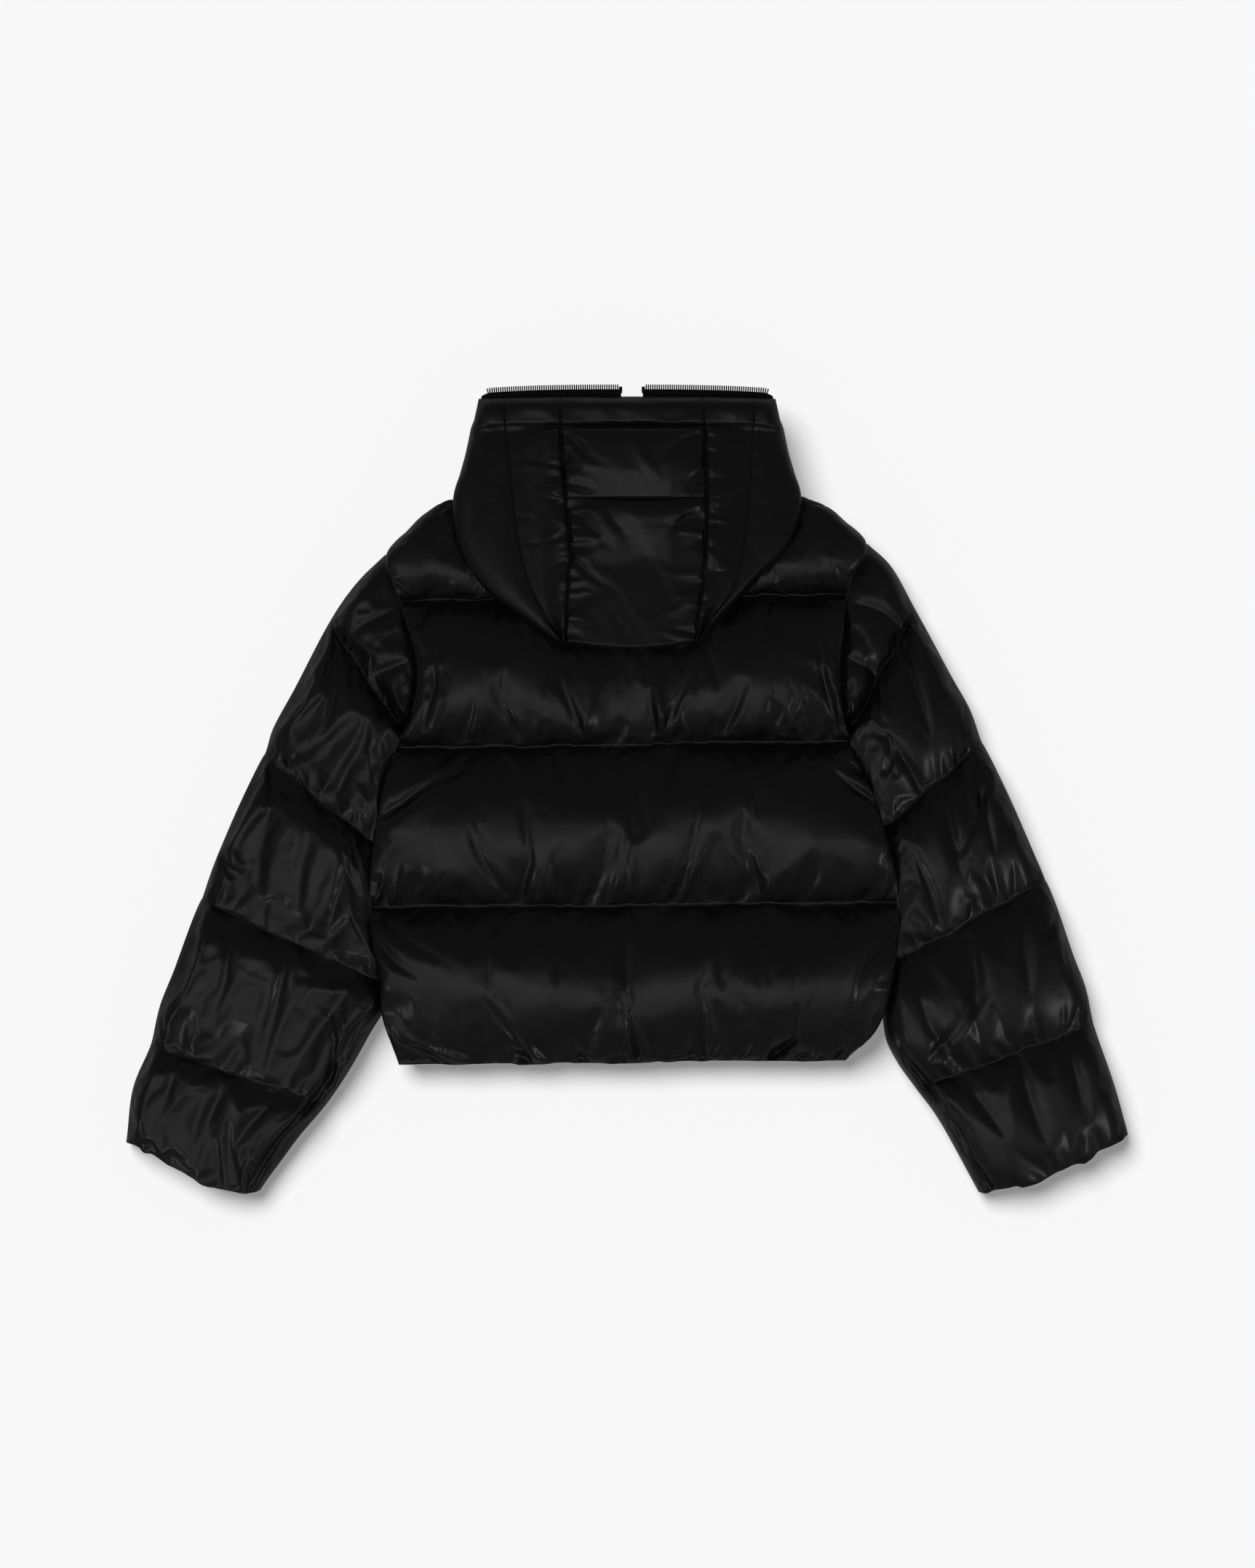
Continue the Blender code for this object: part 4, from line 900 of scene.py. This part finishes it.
# the hood and its neck band, one sheet cut into its panels
hood = {
    "columns": (26, 26, 56, 26, 26), "bandRows": 14, "upperRows": 38, "lowerRows": 78,
    "widths": (52.0, 50.0, 134.0, 42.0, 40.0),
    "upperLength": 66.0, "quiltLength": 68.0, "lowerLength": 137.0,
    "lineHeights": (57.5, 67.0, 72.0, 72.0, 67.0, 57.5), "nose": 54.5, "sideRoll": 46.0, "crownRound": 2.6,
    "puffs": (2.5, 8.5, 12.5, 6.5, 2.5), "fullness": (2.4, 2.4, 2.2, 2.4, 2.4), "fall": 2.5, "rootDip": 4.0,
    "seamWaves": ((0.7, 9.0, 201), (0.7, 21.0, 202)),
    "seamDepths": (0.5, 0.6, 0.6, 0.5), "seamWidth": 0.8,
    "bandLength": 27.0, "bandHalf": 140.0, "bandHeight": 70.0, "bandPuff": 2.6, "bandBow": 3.0,
    "bandRound": 13.0, "bandSideRound": 16.0, "grooveDepth": 1.2, "grooveWidth": 1.2,
    "gap": 0.15,                                     # half of the gap between two pieces, in mm
    "centreFolds": ((18.0, 28.0, 3.4), (9.5, 19.0, 3.6), (5.5, 9.0, 1.8)),
    "besideFolds": ((16.0, 34.0, 4.0), (9.0, 26.0, 5.0), (5.5, 13.0, 2.2)),
    "sideFolds": ((26.0, 8.0, 0.8),),
    "quiltFolds": ((34.0, 22.0, 1.6), (13.0, 9.0, 0.7)),
    "bandFolds": ((40.0, 20.0, 2.2), (18.0, 10.0, 0.9)),
    "creases": (
        # half width, depth, then the line from its tip to its foot
        (7.0, 2.2, ((-8.0, 222.0), (-30.0, 246.0), (-58.0, 274.0))),
        (7.0, 1.6, ((8.0, 226.0), (-6.0, 248.0), (-26.0, 276.0))),
        (7.0, 1.8, ((28.0, 232.0), (46.0, 252.0), (72.0, 272.0))),
        (5.0, 2.6, ((-16.0, 192.0), (-38.0, 208.0), (-60.0, 230.0))),
        (4.5, 3.5, ((34.0, 240.0), (54.0, 258.0), (74.0, 262.0))),
        (5.0, 3.0, ((-14.0, 304.0), (-38.0, 318.0), (-62.0, 342.0))),
        (5.0, 3.0, ((28.0, 312.0), (52.0, 332.0), (74.0, 338.0))),
    ),
    "panels": (
        # name, node, its upright seams, its lines from the band down, its rings below the border
        ("hoodCentreUpper", "hood_centre_upper", (2, 3), (0, 1), straightDown),
        ("hoodCentreLower", "hood_centre_lower", (2, 3), (1, 2),
         ((0.5, 0.0, 0.0, 0.0, 0.002), (0.0, 0.0, 0.0, 0.0, 0.03))),
        ("hoodMidLeft", "hood_mid_left", (1, 2), (0, 2), straightDown),
        ("hoodMidRight", "hood_mid_right", (3, 4), (0, 2), straightDown),
        ("hoodSideLeft", "hood_side_left", (0, 1), (0, 2),
         ((0.6, 0.005, 0.0, 0.0, 0.0), (0.25, 0.04, 0.0, 0.0, 0.0), (0.0, 0.12, 0.0, 0.0, 0.0))),
        ("hoodSideRight", "hood_side_right", (4, 5), (0, 2),
         ((0.6, 0.0, 0.005, 0.0, 0.0), (0.25, 0.0, 0.04, 0.0, 0.0), (0.0, 0.0, 0.12, 0.0, 0.0))),
    ),
    "weave": (50.0, 66.0), "fill": 0.7,
    "cloth": {"bending": 1.0, "pressure": 1.5, "slack": 0.001, "frames": 8, "cap": 3.0},
}


def hoodPlan(u, v):
    # u counts the upright seams from the left; v: band's top edge -1, its seam 0, quilt line 1, crown 2
    panel = np.clip(u.astype(int), 0, 4)
    share = u - panel
    lines = tableAt(hoodRows, np.maximum(v, 0.0))
    index = np.arange(u.size)
    x = mix(lines[2 * panel, index], lines[2 * panel + 2, index], share)
    y = mix(lines[2 * panel + 1, index], lines[2 * panel + 3, index], share)
    y -= (panel == 2) * hoodSag * (np.maximum(v, 0.0) / 2.0) ** 4 * np.sin(np.pi * share)
    topX = mix(np.array(bandTop)[panel], np.array(bandTop)[panel + 1], share)
    topY = bandTopY - bandDrop * (topX / bandTop[0]) ** 4
    up = np.maximum(-v, 0.0)
    centreSeam = np.maximum(bell((u - 2.0) * 26.0), bell((u - 3.0) * 26.0))
    x += centreSeam * (v > 0.0) * (v < 2.0) * wobble(y, hood["seamWaves"])
    return mix(x, topX, up), mix(y, topY, up)


def panelTop(u, v, x, y):
    # the panels, from the band's seam down to the crown that hangs over the back
    panel = np.clip(u.astype(int), 0, 4)
    share = u - panel
    width = np.array(hood["widths"])[panel]
    centre = panel == 2
    lines = np.array(hood["lineHeights"])
    fromEdge = np.where(panel == 0, share, 1.0 - share) * width
    rolled = mix(hood["nose"], lines[1], rounded(fromEdge, hood["sideRoll"]))
    flat = mix(lines[panel], lines[panel + 1], share)
    base = np.where((panel == 0) | (panel == 4), rolled, flat)
    down = np.maximum(v, 0.0)
    past = clipped(down - 1.0)
    # the down leans towards the centre seams, and lies fullest near the band and just past the quilt line
    toCentre = np.where(panel == 1, share ** 3.6, np.where(panel == 3, (1.0 - share) ** 3.6, share))
    swell = np.array(hood["puffs"])[panel] * puff(toCentre, np.array(hood["fullness"])[panel])
    swell += centre * (1.1 * wander(x, 38.0, 260) + 0.7 * wander(x + 0.6 * y, 17.0, 261)) * puff(share)
    upper = 1.0 - np.minimum(np.abs((down - 0.3) / np.where(down < 0.3, 0.3, 0.7)), 1.0) ** 2.15
    lower = rise(past * 2.6) * (1.0 - 0.88 * smooth((past - 0.02) / 0.50) - 0.12 * past)
    pillow = mix(0.2, 1.0, np.where(down < 1.0, upper, lower))
    height = base + np.where(centre, swell * pillow, swell * rise(down * 1.6)) - hood["fall"] * past ** 1.6
    height -= np.where(centre, 0.0, hood["rootDip"] * (1.0 - rise(down * 0.8)))
    # gathers run out from the seams and fade at the quilt line and the band
    calm = clipped(down * 14.0) * np.where(centre, clipped(np.abs(down - 1.0) * 12.0), 1.0)
    for line, outer in ((2, 1), (3, 3)):
        away = np.abs(u - line) * width
        beside = (panel == outer) & (u >= line - 1) & (u <= line + 1)
        folds = np.zeros_like(height)
        folds[centre] = seamFolds(y[centre], away[centre], hood["centreFolds"], 210 + line)
        folds[beside] = seamFolds(y[beside], away[beside], hood["besideFolds"], 220 + line)
        height += folds * calm
    for line in (1, 4):
        near = np.abs(u - line) < 0.6
        height[near] += (seamFolds(y, np.abs(u - line) * width, hood["sideFolds"], 230 + line) * calm)[near]
    quilted = centre & (down > 0.0)
    fromQuilt = np.abs(down - 1.0) * hood["quiltLength"]
    height[quilted] += seamFolds(x, fromQuilt, hood["quiltFolds"], 240)[quilted] * calm[quilted]
    height += creasesAt(x, y, hood["creases"]) * centre * smooth(np.abs(u - 3) * width / 6.0) * calm
    return mix(hood["nose"], height, rounded((2.0 - down) * hood["lowerLength"], hood["crownRound"]))


def hoodTop(u, v, x, y):
    panel = np.clip(u.astype(int), 0, 4)
    share = u - panel
    width = np.array(hood["widths"])[panel]
    up = clipped(-v)
    toSide = np.minimum(x - mix(hoodRows[0][1], bandTop[0], up), mix(hoodRows[0][11], bandTop[5], up) - x)
    turned = rounded(toSide, hood["bandSideRound"])
    # the neck band
    fromTop, fromSeam = (1.0 - up) * hood["bandLength"], up * hood["bandLength"]
    bow = hood["bandBow"] * (x / hood["bandHalf"]) ** 2
    band = hood["bandHeight"] + hood["bandPuff"] * puff(share) * puff(up ** 1.6) - bow
    band += seamFolds(x, fromSeam, hood["bandFolds"], 250) + seamFolds(x, fromTop, hood["bandFolds"], 251)
    band = mix(hood["nose"], band, rounded(fromTop, hood["bandRound"]))
    band = mix(hood["nose"], band, turned)
    # the panels start at the band's height, and run into their own over 6 mm
    atSeam = mix(hood["nose"], hood["bandHeight"] - bow, turned)
    blend = clipped(np.maximum(v, 0.0) * hood["upperLength"] / 6.0)
    height = np.where(v < 0.0, band, mix(atSeam, panelTop(u, v, x, y), blend))
    fromLine = np.abs(v) * np.where(v < 0.0, hood["bandLength"], hood["upperLength"])
    height -= hood["grooveDepth"] * bell(fromLine / hood["grooveWidth"]) * turned
    for line, depth in enumerate(hood["seamDepths"], 1):
        seam = bell(np.abs(u - line) * width / hood["seamWidth"])
        height -= depth * seam * rounded(toSide + 8.0, hood["bandSideRound"])
    return height


def hoodSheet():
    uSteps = [line + step for line, count in enumerate(hood["columns"]) for step in eased(count, 0.3)[:-1]]
    uSteps = np.append(uSteps, 5.0)
    band = -1.0 + eased(hood["bandRows"], 0.4)[:-1]
    upper, lower = eased(hood["upperRows"], 0.35)[:-1], 1.0 + eased(hood["lowerRows"], 0.3)
    vSteps = np.concatenate([band, upper, lower])
    sheet = startGrid("hoodSheet", uSteps, vSteps)
    u, v = gridNumbers(sheet)
    x, y = hoodPlan(u, v)
    writePoints(sheet.data, place(x, y, hoodTop(u, v, x, y)))
    sewn = (np.abs(u - np.round(u)) < tiny) | (np.abs(v) < tiny) | (v < -0.999) | (v > 1.999)
    sewn |= (np.abs(v - 1.0) < tiny) & (u > 2.0) & (u < 3.0)
    puffUp(sheet, sewn, hood["cloth"])
    return sheet


def cutPanel(sheet, name, node, uRange, vRange, rims):
    bm, uLayer, vLayer = openMesh(sheet)
    beyond = []
    for face in bm.faces:
        u = sum(vert[uLayer] for vert in face.verts) / 4.0
        v = sum(vert[vLayer] for vert in face.verts) / 4.0
        if not (uRange[0] < u < uRange[1] and vRange[0] < v < vRange[1]):
            beyond.append(face)
    bmesh.ops.delete(bm, geom=beyond, context="FACES")
    trim = hood["gap"] * mm
    for vert in bm.verts:
        if abs(vert[uLayer] - uRange[0]) < tiny and uRange[0] > 0:
            vert.co.x += trim
        if abs(vert[uLayer] - uRange[1]) < tiny and uRange[1] < 5:
            vert.co.x -= trim
        if abs(vert[vLayer] - vRange[0]) < tiny and vRange[0] > -1:
            vert.co.y -= trim
        if abs(vert[vLayer] - vRange[1]) < tiny and vRange[1] < 2:
            vert.co.y += trim
    piece = addMesh(name, bm)

    def inside(u, v):
        x, y = hoodPlan(u, v)
        x += hood["gap"] * ((u - uRange[0] < tiny) & (uRange[0] > 0))
        x -= hood["gap"] * ((uRange[1] - u < tiny) & (uRange[1] < 5))
        return x, y

    closeBelow(piece, inside, rims, uRange, vRange, heights["hoodFloor"])
    layUv(piece, *hood["weave"])
    finishPadded(piece, node)


def makeHood():
    sheet = hoodSheet()
    for panel in hood["panels"]:
        cutPanel(sheet, *panel)
    for number in range(5):
        leftIn, rightIn = 0.2 * (number == 0), 0.2 * (number == 4)
        rims = [(0.5, leftIn * 0.2, rightIn * 0.2, 0.04, 0.0), (0.0, leftIn, rightIn, 0.26, 0.0)]
        name, node = f"bandPiece{number + 1}", f"collar_{number + 1}"
        cutPanel(sheet, name, node, (number, number + 1), (-1, 0), rims)
    bpy.data.objects.remove(sheet, do_unlink=True)


makeHood()
print("hood done")


# the fronts and the folded layers below the hood
fronts = {
    "columns": 40, "rowsPerChannel": 30, "zipHalf": 12.3, "round": 12.0,
    "pinch": 5.0, "pinchWidth": 9.0, "pinchLength": 150.0, "leastTuck": 8.0,
    "width": 230.0, "channelLength": 140.0,          # about, in mm
    "rims": (
        (0.66, 0.001, 0.0, 0.001, 0.001), (0.38, 0.006, 0.0, 0.003, 0.003),
        (0.15, 0.018, 0.0, 0.009, 0.009), (0.03, 0.036, 0.0, 0.015, 0.015), (0.0, 0.05, 0.0, 0.02, 0.02),
    ),
    "weave": (230.0, 135.0), "fill": 0.6,
}


def makeFront(side, name, node):
    def plan(u, v):
        leftX, leftY, rightX, rightY, tuck = tableAt(backRows, v)
        span = rightX - leftX
        seam = bell((v - np.round(v)) * fronts["pinchLength"] / fronts["pinchWidth"])
        tuck = np.maximum(tuck, fronts["leastTuck"]) + fronts["pinch"] * seam * (v > 0.5) * (v < 3.5)
        zipU = (side * fronts["zipHalf"] - leftX) / span
        edgeU = np.where(side < 0, tuck / span, 1.0 - tuck / span)
        at = mix(edgeU, zipU, u)
        return mix(leftX, rightX, at), mix(leftY, rightY, at)

    uSteps = np.linspace(0.0, 1.0, fronts["columns"] + 1) ** 1.6
    piece = startGrid(name, uSteps, channelSteps(4, fronts["rowsPerChannel"]))
    u, v = gridNumbers(piece)
    x, y = plan(u, v)
    edge = np.minimum(u * fronts["width"], np.minimum(v, 4.0 - v) * fronts["channelLength"])
    z = mix(heights["frontNose"], heights["frontTop"], rounded(edge, fronts["round"]))
    writePoints(piece.data, place(x, y, z))
    closeBelow(piece, plan, fronts["rims"], (0.0, 1.0), (0.0, 4.0), 0.0)
    layUv(piece, *fronts["weave"])
    finishPadded(piece, node)


layers = {
    "columns": 60, "rows": 24, "top": 50.0, "bottomY": 284.5, "topIn": 6.0, "sideIn": 9.0, "corner": 10.0,
    "weave": (290.0, 85.0), "fill": 0.5,
    # height, draw-in at the sides and at the band: two soft layers on each other
    "rings": (
        (48.5, -0.010, -0.025), (45.0, -0.018, -0.05), (40.0, -0.022, -0.06), (35.0, -0.022, -0.06),
        (31.0, -0.016, -0.04), (27.5, -0.004, 0.0), (25.0, 0.012, 0.05), (22.5, -0.004, 0.0),
        (19.0, -0.016, -0.04), (14.0, -0.022, -0.06), (8.0, -0.022, -0.06), (4.0, -0.014, -0.035),
        (1.2, 0.0, 0.02), (0.0, 0.02, 0.08),
    ),
}


def makeLayers():
    def plan(u, v):
        hoodV = mix(0.97, 0.0, v)
        leftX, leftY = hoodLine(hoodV, 0)
        rightX, rightY = hoodLine(hoodV, 5)
        corner = layers["corner"] * (np.maximum(0.0, v - 0.7) / 0.3) ** 2
        x = mix(leftX + layers["sideIn"] + corner, rightX - layers["sideIn"] - corner, u)
        return x, mix(layers["bottomY"], bandTopY - layers["topIn"], v)

    piece = startGrid("hoodLayers", eased(layers["columns"], 0.3), eased(layers["rows"], 0.3))
    u, v = gridNumbers(piece)
    x, y = plan(u, v)
    writePoints(piece.data, place(x, y, np.full_like(x, layers["top"])))
    rims = [(height / layers["top"], side, side, 0.0, band) for height, side, band in layers["rings"]]
    closeBelow(piece, plan, rims, (0.0, 1.0), (0.0, 1.0), 0.0)
    layUv(piece, *layers["weave"])
    finishPadded(piece, "hood_under")


makeFront(-1, "leftFront", "front_left")
makeFront(1, "rightFront", "front_right")
makeLayers()
print("fronts and layers done")


# the collar's zip: tapes, their cords, teeth and end stops
upwards = (0.0, 0.0, 1.0)
zipLook = {
    # name, node, inner and outer x
    "tapes": (("leftTape", "zip_tape_left", -6.0, -138.5), ("rightTape", "zip_tape_right", 14.5, 137.8)),
    "columns": 60, "rows": 12,
    "rootY": 371.2, "topY": 382.2, "drop": 3.8, "corner": 3.0, "floor": 50.5, "thick": 1.2,
    # the first tooth's place is in pitches, and the row's length a share of the tape's
    "pitch": 2.05, "firstTooth": 1.6, "toothShare": 0.955,
    "tooth": (1.3, 5.0, 2.6), "toothOut": 1.9, "toothRise": 1.1,
    "stop": (3.2, 6.0, 2.6), "stopIn": 0.6, "stopRise": 0.9, "bevel": 0.2,
    "cordBelow": 3.4, "cordHalf": 0.7, "cordRise": 0.7,
    "flatWidth": 0.0122,                             # in m, with what is sewn in
    "weave": (130.0, 12.0),
}


def tapePoint(innerX, outerX, u, v):
    x = mix(innerX, outerX, u)
    reach = np.abs(x / outerX)
    corner = zipLook["corner"] * (np.maximum(0.0, reach - 0.93) / 0.07) ** 2
    topY = zipLook["topY"] - zipLook["drop"] * reach ** 3 - corner
    return x, mix(zipLook["rootY"] - bandDrop * reach ** 4, topY, v)


def addBoxes(name, boxes, bevel, material):
    # one joined piece of small boxes, each with its middle, run direction and size in mm
    bm = bmesh.new()
    for middle, along, size in boxes:
        run = Vector(along).normalized()
        rise = Vector(upwards)
        rise = (rise - run * rise.dot(run)).normalized()
        turn = Matrix((run, rise.cross(run), rise)).transposed().to_4x4()
        spot = Vector(((middle[0] + shift[0]) * mm, (middle[1] + shift[1]) * mm, middle[2] * mm))
        scale = Matrix.Diagonal((size[0] * mm, size[1] * mm, size[2] * mm, 1.0))
        bmesh.ops.create_cube(bm, size=1.0, matrix=Matrix.Translation(spot) @ turn @ scale)
    bmesh.ops.bevel(bm, geom=bm.edges[:], offset=bevel * mm, segments=1, affect="EDGES",
                    profile=0.5, material=-1)
    piece = addMesh(name, bm)
    piece.data.materials.append(material)
    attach(piece, "root")
    return piece


def zipRow(innerX, outerX):
    # the teeth along a tape's top edge, and the stop at its inner end
    length = abs(outerX - innerX)
    boxes = []
    for index in range(int(length * zipLook["toothShare"] / zipLook["pitch"])):
        share = (index + zipLook["firstTooth"]) * zipLook["pitch"] / length
        x, y = tapePoint(innerX, outerX, np.array([share - 0.004, share, share + 0.004]), np.ones(3))
        middle = (x[1], y[1] + zipLook["toothOut"], zipLook["floor"] + zipLook["toothRise"])
        boxes.append((middle, (x[2] - x[0], y[2] - y[0], 0.0), zipLook["tooth"]))
    x, y = tapePoint(innerX, outerX, np.array([0.004, 0.02]), np.ones(2))
    middle = (x[0], y[0] - zipLook["stopIn"], zipLook["floor"] + zipLook["stopRise"])
    boxes.append((middle, (x[1] - x[0], y[1] - y[0], 0.0), zipLook["stop"]))
    return boxes


def makeTape(name, node, innerX, outerX):
    def plan(u, v):
        return tapePoint(innerX, outerX, u, v)

    piece = startGrid(name, eased(zipLook["columns"], 0.3), np.linspace(0.0, 1.0, zipLook["rows"] + 1))
    u, v = gridNumbers(piece)
    x, y = plan(u, v)
    fromCord = (zipLook["topY"] - zipLook["rootY"]) * (1.0 - v) - zipLook["cordBelow"]
    z = zipLook["floor"] + zipLook["thick"] + zipLook["cordRise"] * bell(fromCord / zipLook["cordHalf"])
    writePoints(piece.data, place(x, y, z))
    closeBelow(piece, plan, straightDown, (0.0, 1.0), (0.0, 1.0), zipLook["floor"])
    layUv(piece, *zipLook["weave"])
    finishPiece(piece, tape, node)
    row = addBoxes(name + "Teeth", zipRow(innerX, outerX), zipLook["bevel"], metal)


for tapePlace in zipLook["tapes"]:
    makeTape(*tapePlace)
for node, material in (("zip_front", tape), ("zip_slider", metal)):
    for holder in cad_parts[node].material_slots:
        holder.material = material
print("collar zip done")


# the sewing
sewing = {
    "stitch": (2.9, 0.55, 0.5), "pitch": 3.7, "lift": 0.3, "bevel": 0.12,
    "backRun": (0.012, 0.988), "armholeRun": 0.03, "armholeIn": 2.6, "sleeveRun": (0.03, 0.97),
    "acrossRun": (2.02, 2.98), "downRun": (0.03, 1.93), "bandSeamRun": (0.1, 4.9), "upRun": (-0.95, -0.05),
}


def stitchAlong(x, y, z):
    # stitches laid end to end on a line given by close points, in mm
    length = sewing["stitch"][0]
    steps = np.sqrt(np.diff(x) ** 2 + np.diff(y) ** 2 + np.diff(z) ** 2)
    run = np.concatenate([[0.0], np.cumsum(steps)])
    boxes = []
    for start in np.arange(1.0, run[-1] - length - 1.0, sewing["pitch"]):
        ends = np.array([start, start + length])
        px, py, pz = np.interp(ends, run, x), np.interp(ends, run, y), np.interp(ends, run, z)
        middle = (px.mean(), py.mean(), pz.mean() + sewing["lift"])
        boxes.append((middle, (px[1] - px[0], py[1] - py[0], pz[1] - pz[0]), sewing["stitch"]))
    return boxes


def quiltStitches():
    boxes = []
    share = np.linspace(*sewing["backRun"], 700)
    for seam in (1.0, 2.0, 3.0):
        v = np.full_like(share, seam)
        x, y = backPlan(share, v)
        shown = outside(x, y, hoodEdge) > 1.0
        z = backTop(share, v, x, y)
        # the upper line is parted by the hood
        for part in (shown & (x < 0.0), shown & (x >= 0.0)) if seam == 3.0 else (shown,):
            boxes += stitchAlong(x[part], y[part], z[part])
    for side, table in ((-1, sleeveLeft), (1, sleeveRight)):
        v = np.linspace(armpitV + sewing["armholeRun"], shoulderV - sewing["armholeRun"], 300)
        u = sewing["armholeIn"] / backSpan(v)
        u = u if side < 0 else 1.0 - u
        x, y = backPlan(u, v)
        boxes += stitchAlong(x, y, backTop(u, v, x, y))
        w = np.linspace(*sewing["sleeveRun"], 300)
        for seam in (1.0, 2.0, 3.0, 4.0):
            s = np.full_like(w, seam)
            x, y = sleevePlan(side, table, w, s)
            shown = outside(x, y, backEdge) > 3.0
            z = sleeveTop(side, table, w, s)
            boxes += stitchAlong(x[shown], y[shown], z[shown])
    return boxes


def hoodStitches():
    across = np.linspace(*sewing["acrossRun"], 200)
    down = np.linspace(*sewing["downRun"], 400)
    bandSeam = np.linspace(*sewing["bandSeamRun"], 500)
    up = np.linspace(*sewing["upRun"], 60)
    lines = [(across, np.ones_like(across))]
    lines += [(np.full_like(down, line), down) for line in (2.0, 3.0, 1.0, 4.0)]
    lines += [(bandSeam, np.zeros_like(bandSeam))]
    lines += [(np.full_like(up, line), up) for line in (1.0, 2.0, 3.0, 4.0)]
    boxes = []
    for u, v in lines:
        x, y = hoodPlan(u, v)
        boxes += stitchAlong(x, y, hoodTop(u, v, x, y))
    return boxes


def makeSewing():
    # the stitches take the light grey thread, whose colour is partly a painted highlight of the seams'
    # glint
    for name, boxes in (("quiltStitches", quiltStitches()), ("hoodStitches", hoodStitches())):
        addBoxes(name, boxes, sewing["bevel"], threadWithPaintedGlint)


makeSewing()
print("sewing done")


# floor, lights, camera
studio = {
    "floorSize": 6.0, "floorColour": (0.90, 0.90, 0.90, 1.0), "floorGlow": 0.23,
    "floorInGloss": 0.15,      # what is left of colour and glow where the nylon mirrors the floor
    "sky": {"horizon": 0.07, "zenith": 0.063, "fade": 0.24},
    "softboxes": {
        "hemSide": {"place": (-0.20, -0.72, 1.53), "size": (1.6, 0.80), "power": 1.55},
        "leftSide": {"place": (-1.15, -0.10, 1.25), "size": (1.1, 0.55), "power": 0.20},
        "overhead": {"place": (-0.1, -0.40, 1.70), "size": (1.2, 0.60), "power": 0.4},
        "glintLeft": {"place": (-0.85, -1.05, 0.95), "size": (0.30, 0.20), "power": 0.5},
        "glintRight": {"place": (1.05, -0.85, 0.95), "size": (0.30, 0.20), "power": 0.7},
    },
    "sun": {"aim": (0.40, -0.52, -1.0), "strength": 2.72, "spread": 35.0},
}


def addLight(name, light):
    lamp = bpy.data.lights.new(name, "AREA")
    lamp.shape = "RECTANGLE"
    lamp.size, lamp.size_y = light["size"]
    lamp.energy = light["power"]
    softbox = addThing(name, lamp)
    softbox.location = light["place"]
    softbox.rotation_euler = (-Vector(light["place"])).to_track_quat("-Z", "Y").to_euler()
    softbox.visible_camera = False
    return softbox


def makeSun():
    # it lights the floor alone, so that the jacket's own soft shadow lies on it
    lamp = bpy.data.lights.new("floorSun", "SUN")
    lamp.energy = studio["sun"]["strength"]
    lamp.angle = math.radians(studio["sun"]["spread"])
    sun = addThing("floorSun", lamp)
    sun.rotation_euler = Vector(studio["sun"]["aim"]).to_track_quat("-Z", "Y").to_euler()
    return sun


def makeSky():
    sky = studio["sky"]
    world = bpy.data.worlds.new("room")
    world.use_nodes = True
    tree = world.node_tree
    backdrop = tree.nodes["Background"]
    where = addNode(tree, "ShaderNodeTexCoord")
    split = addNode(tree, "ShaderNodeSeparateXYZ")
    fade = addNode(tree, "ShaderNodeMapRange", {
        "From Min": 0.0, "From Max": sky["fade"], "To Min": sky["horizon"], "To Max": sky["zenith"],
    }, interpolation_type="SMOOTHSTEP")
    linkSockets(
        tree,
        (where.outputs["Generated"], split.inputs[0]),
        (split.outputs["Z"], fade.inputs["Value"]),
        (fade.outputs["Result"], backdrop.inputs["Strength"]),
    )
    setInputs(backdrop, {"Color": (1.0, 1.0, 1.0, 1.0)})
    bpy.context.scene.world = world


def makeFloor():
    bm = bmesh.new()
    bmesh.ops.create_grid(bm, x_segments=1, y_segments=1, size=studio["floorSize"])
    floor = addMesh("floor", bm)
    material, tree, shader = startMaterial("paleFloor")
    setInputs(shader, {"Roughness": 0.9, "Emission Color": (1.0, 1.0, 1.0, 1.0)})
    glow, inGloss = studio["floorGlow"], studio["floorInGloss"]
    mirrored = [inGloss * part for part in studio["floorColour"][:3]] + [1.0]
    ray = addNode(tree, "ShaderNodeLightPath")
    colour = addNode(tree, "ShaderNodeMix", {6: studio["floorColour"], 7: mirrored}, data_type="RGBA")
    strength = addNode(tree, "ShaderNodeMapRange", {"To Min": glow, "To Max": glow * inGloss})
    linkSockets(
        tree,
        (ray.outputs["Is Glossy Ray"], colour.inputs[0]),
        (ray.outputs["Is Glossy Ray"], strength.inputs["Value"]),
        (colour.outputs[2], shader.inputs["Base Color"]),
        (strength.outputs["Result"], shader.inputs["Emission Strength"]),
    )
    floor.data.materials.append(material)
    return floor


view = {
    "distance": 4.2, "focusHeight": 0.020, "middleY": 7.8 * mm,
    "frameHeight": 2156 * 0.694 * mm,      # the frame's height in pixels, and the size of one in mm
}


def makeCamera():
    lens = bpy.data.cameras.new("camera")
    lens.sensor_fit = "VERTICAL"
    lens.sensor_height = 24.0
    lens.lens = lens.sensor_height * view["distance"] / view["frameHeight"]
    lens.clip_end = 50.0
    camera = addThing("camera", lens)
    camera.location = (0.0, view["middleY"], view["distance"] + view["focusHeight"])
    bpy.context.scene.camera = camera


floor = makeFloor()
makeCamera()
makeSky()
softboxes = [addLight(name, light) for name, light in studio["softboxes"].items()]
sun = makeSun()
# the sun lights the floor alone, and the softboxes everything else
floorOnly = bpy.data.collections.new("floorOnly")
floorOnly.objects.link(floor)
sun.light_linking.receiver_collection = floorOnly
notFloor = bpy.data.collections.new("notFloor")
notFloor.objects.link(floor)
notFloor.collection_objects[0].light_linking.link_state = "EXCLUDE"
for softbox in softboxes:
    softbox.light_linking.receiver_collection = notFloor
bpy.context.scene.view_settings.view_transform = "Standard"
print("studio done")
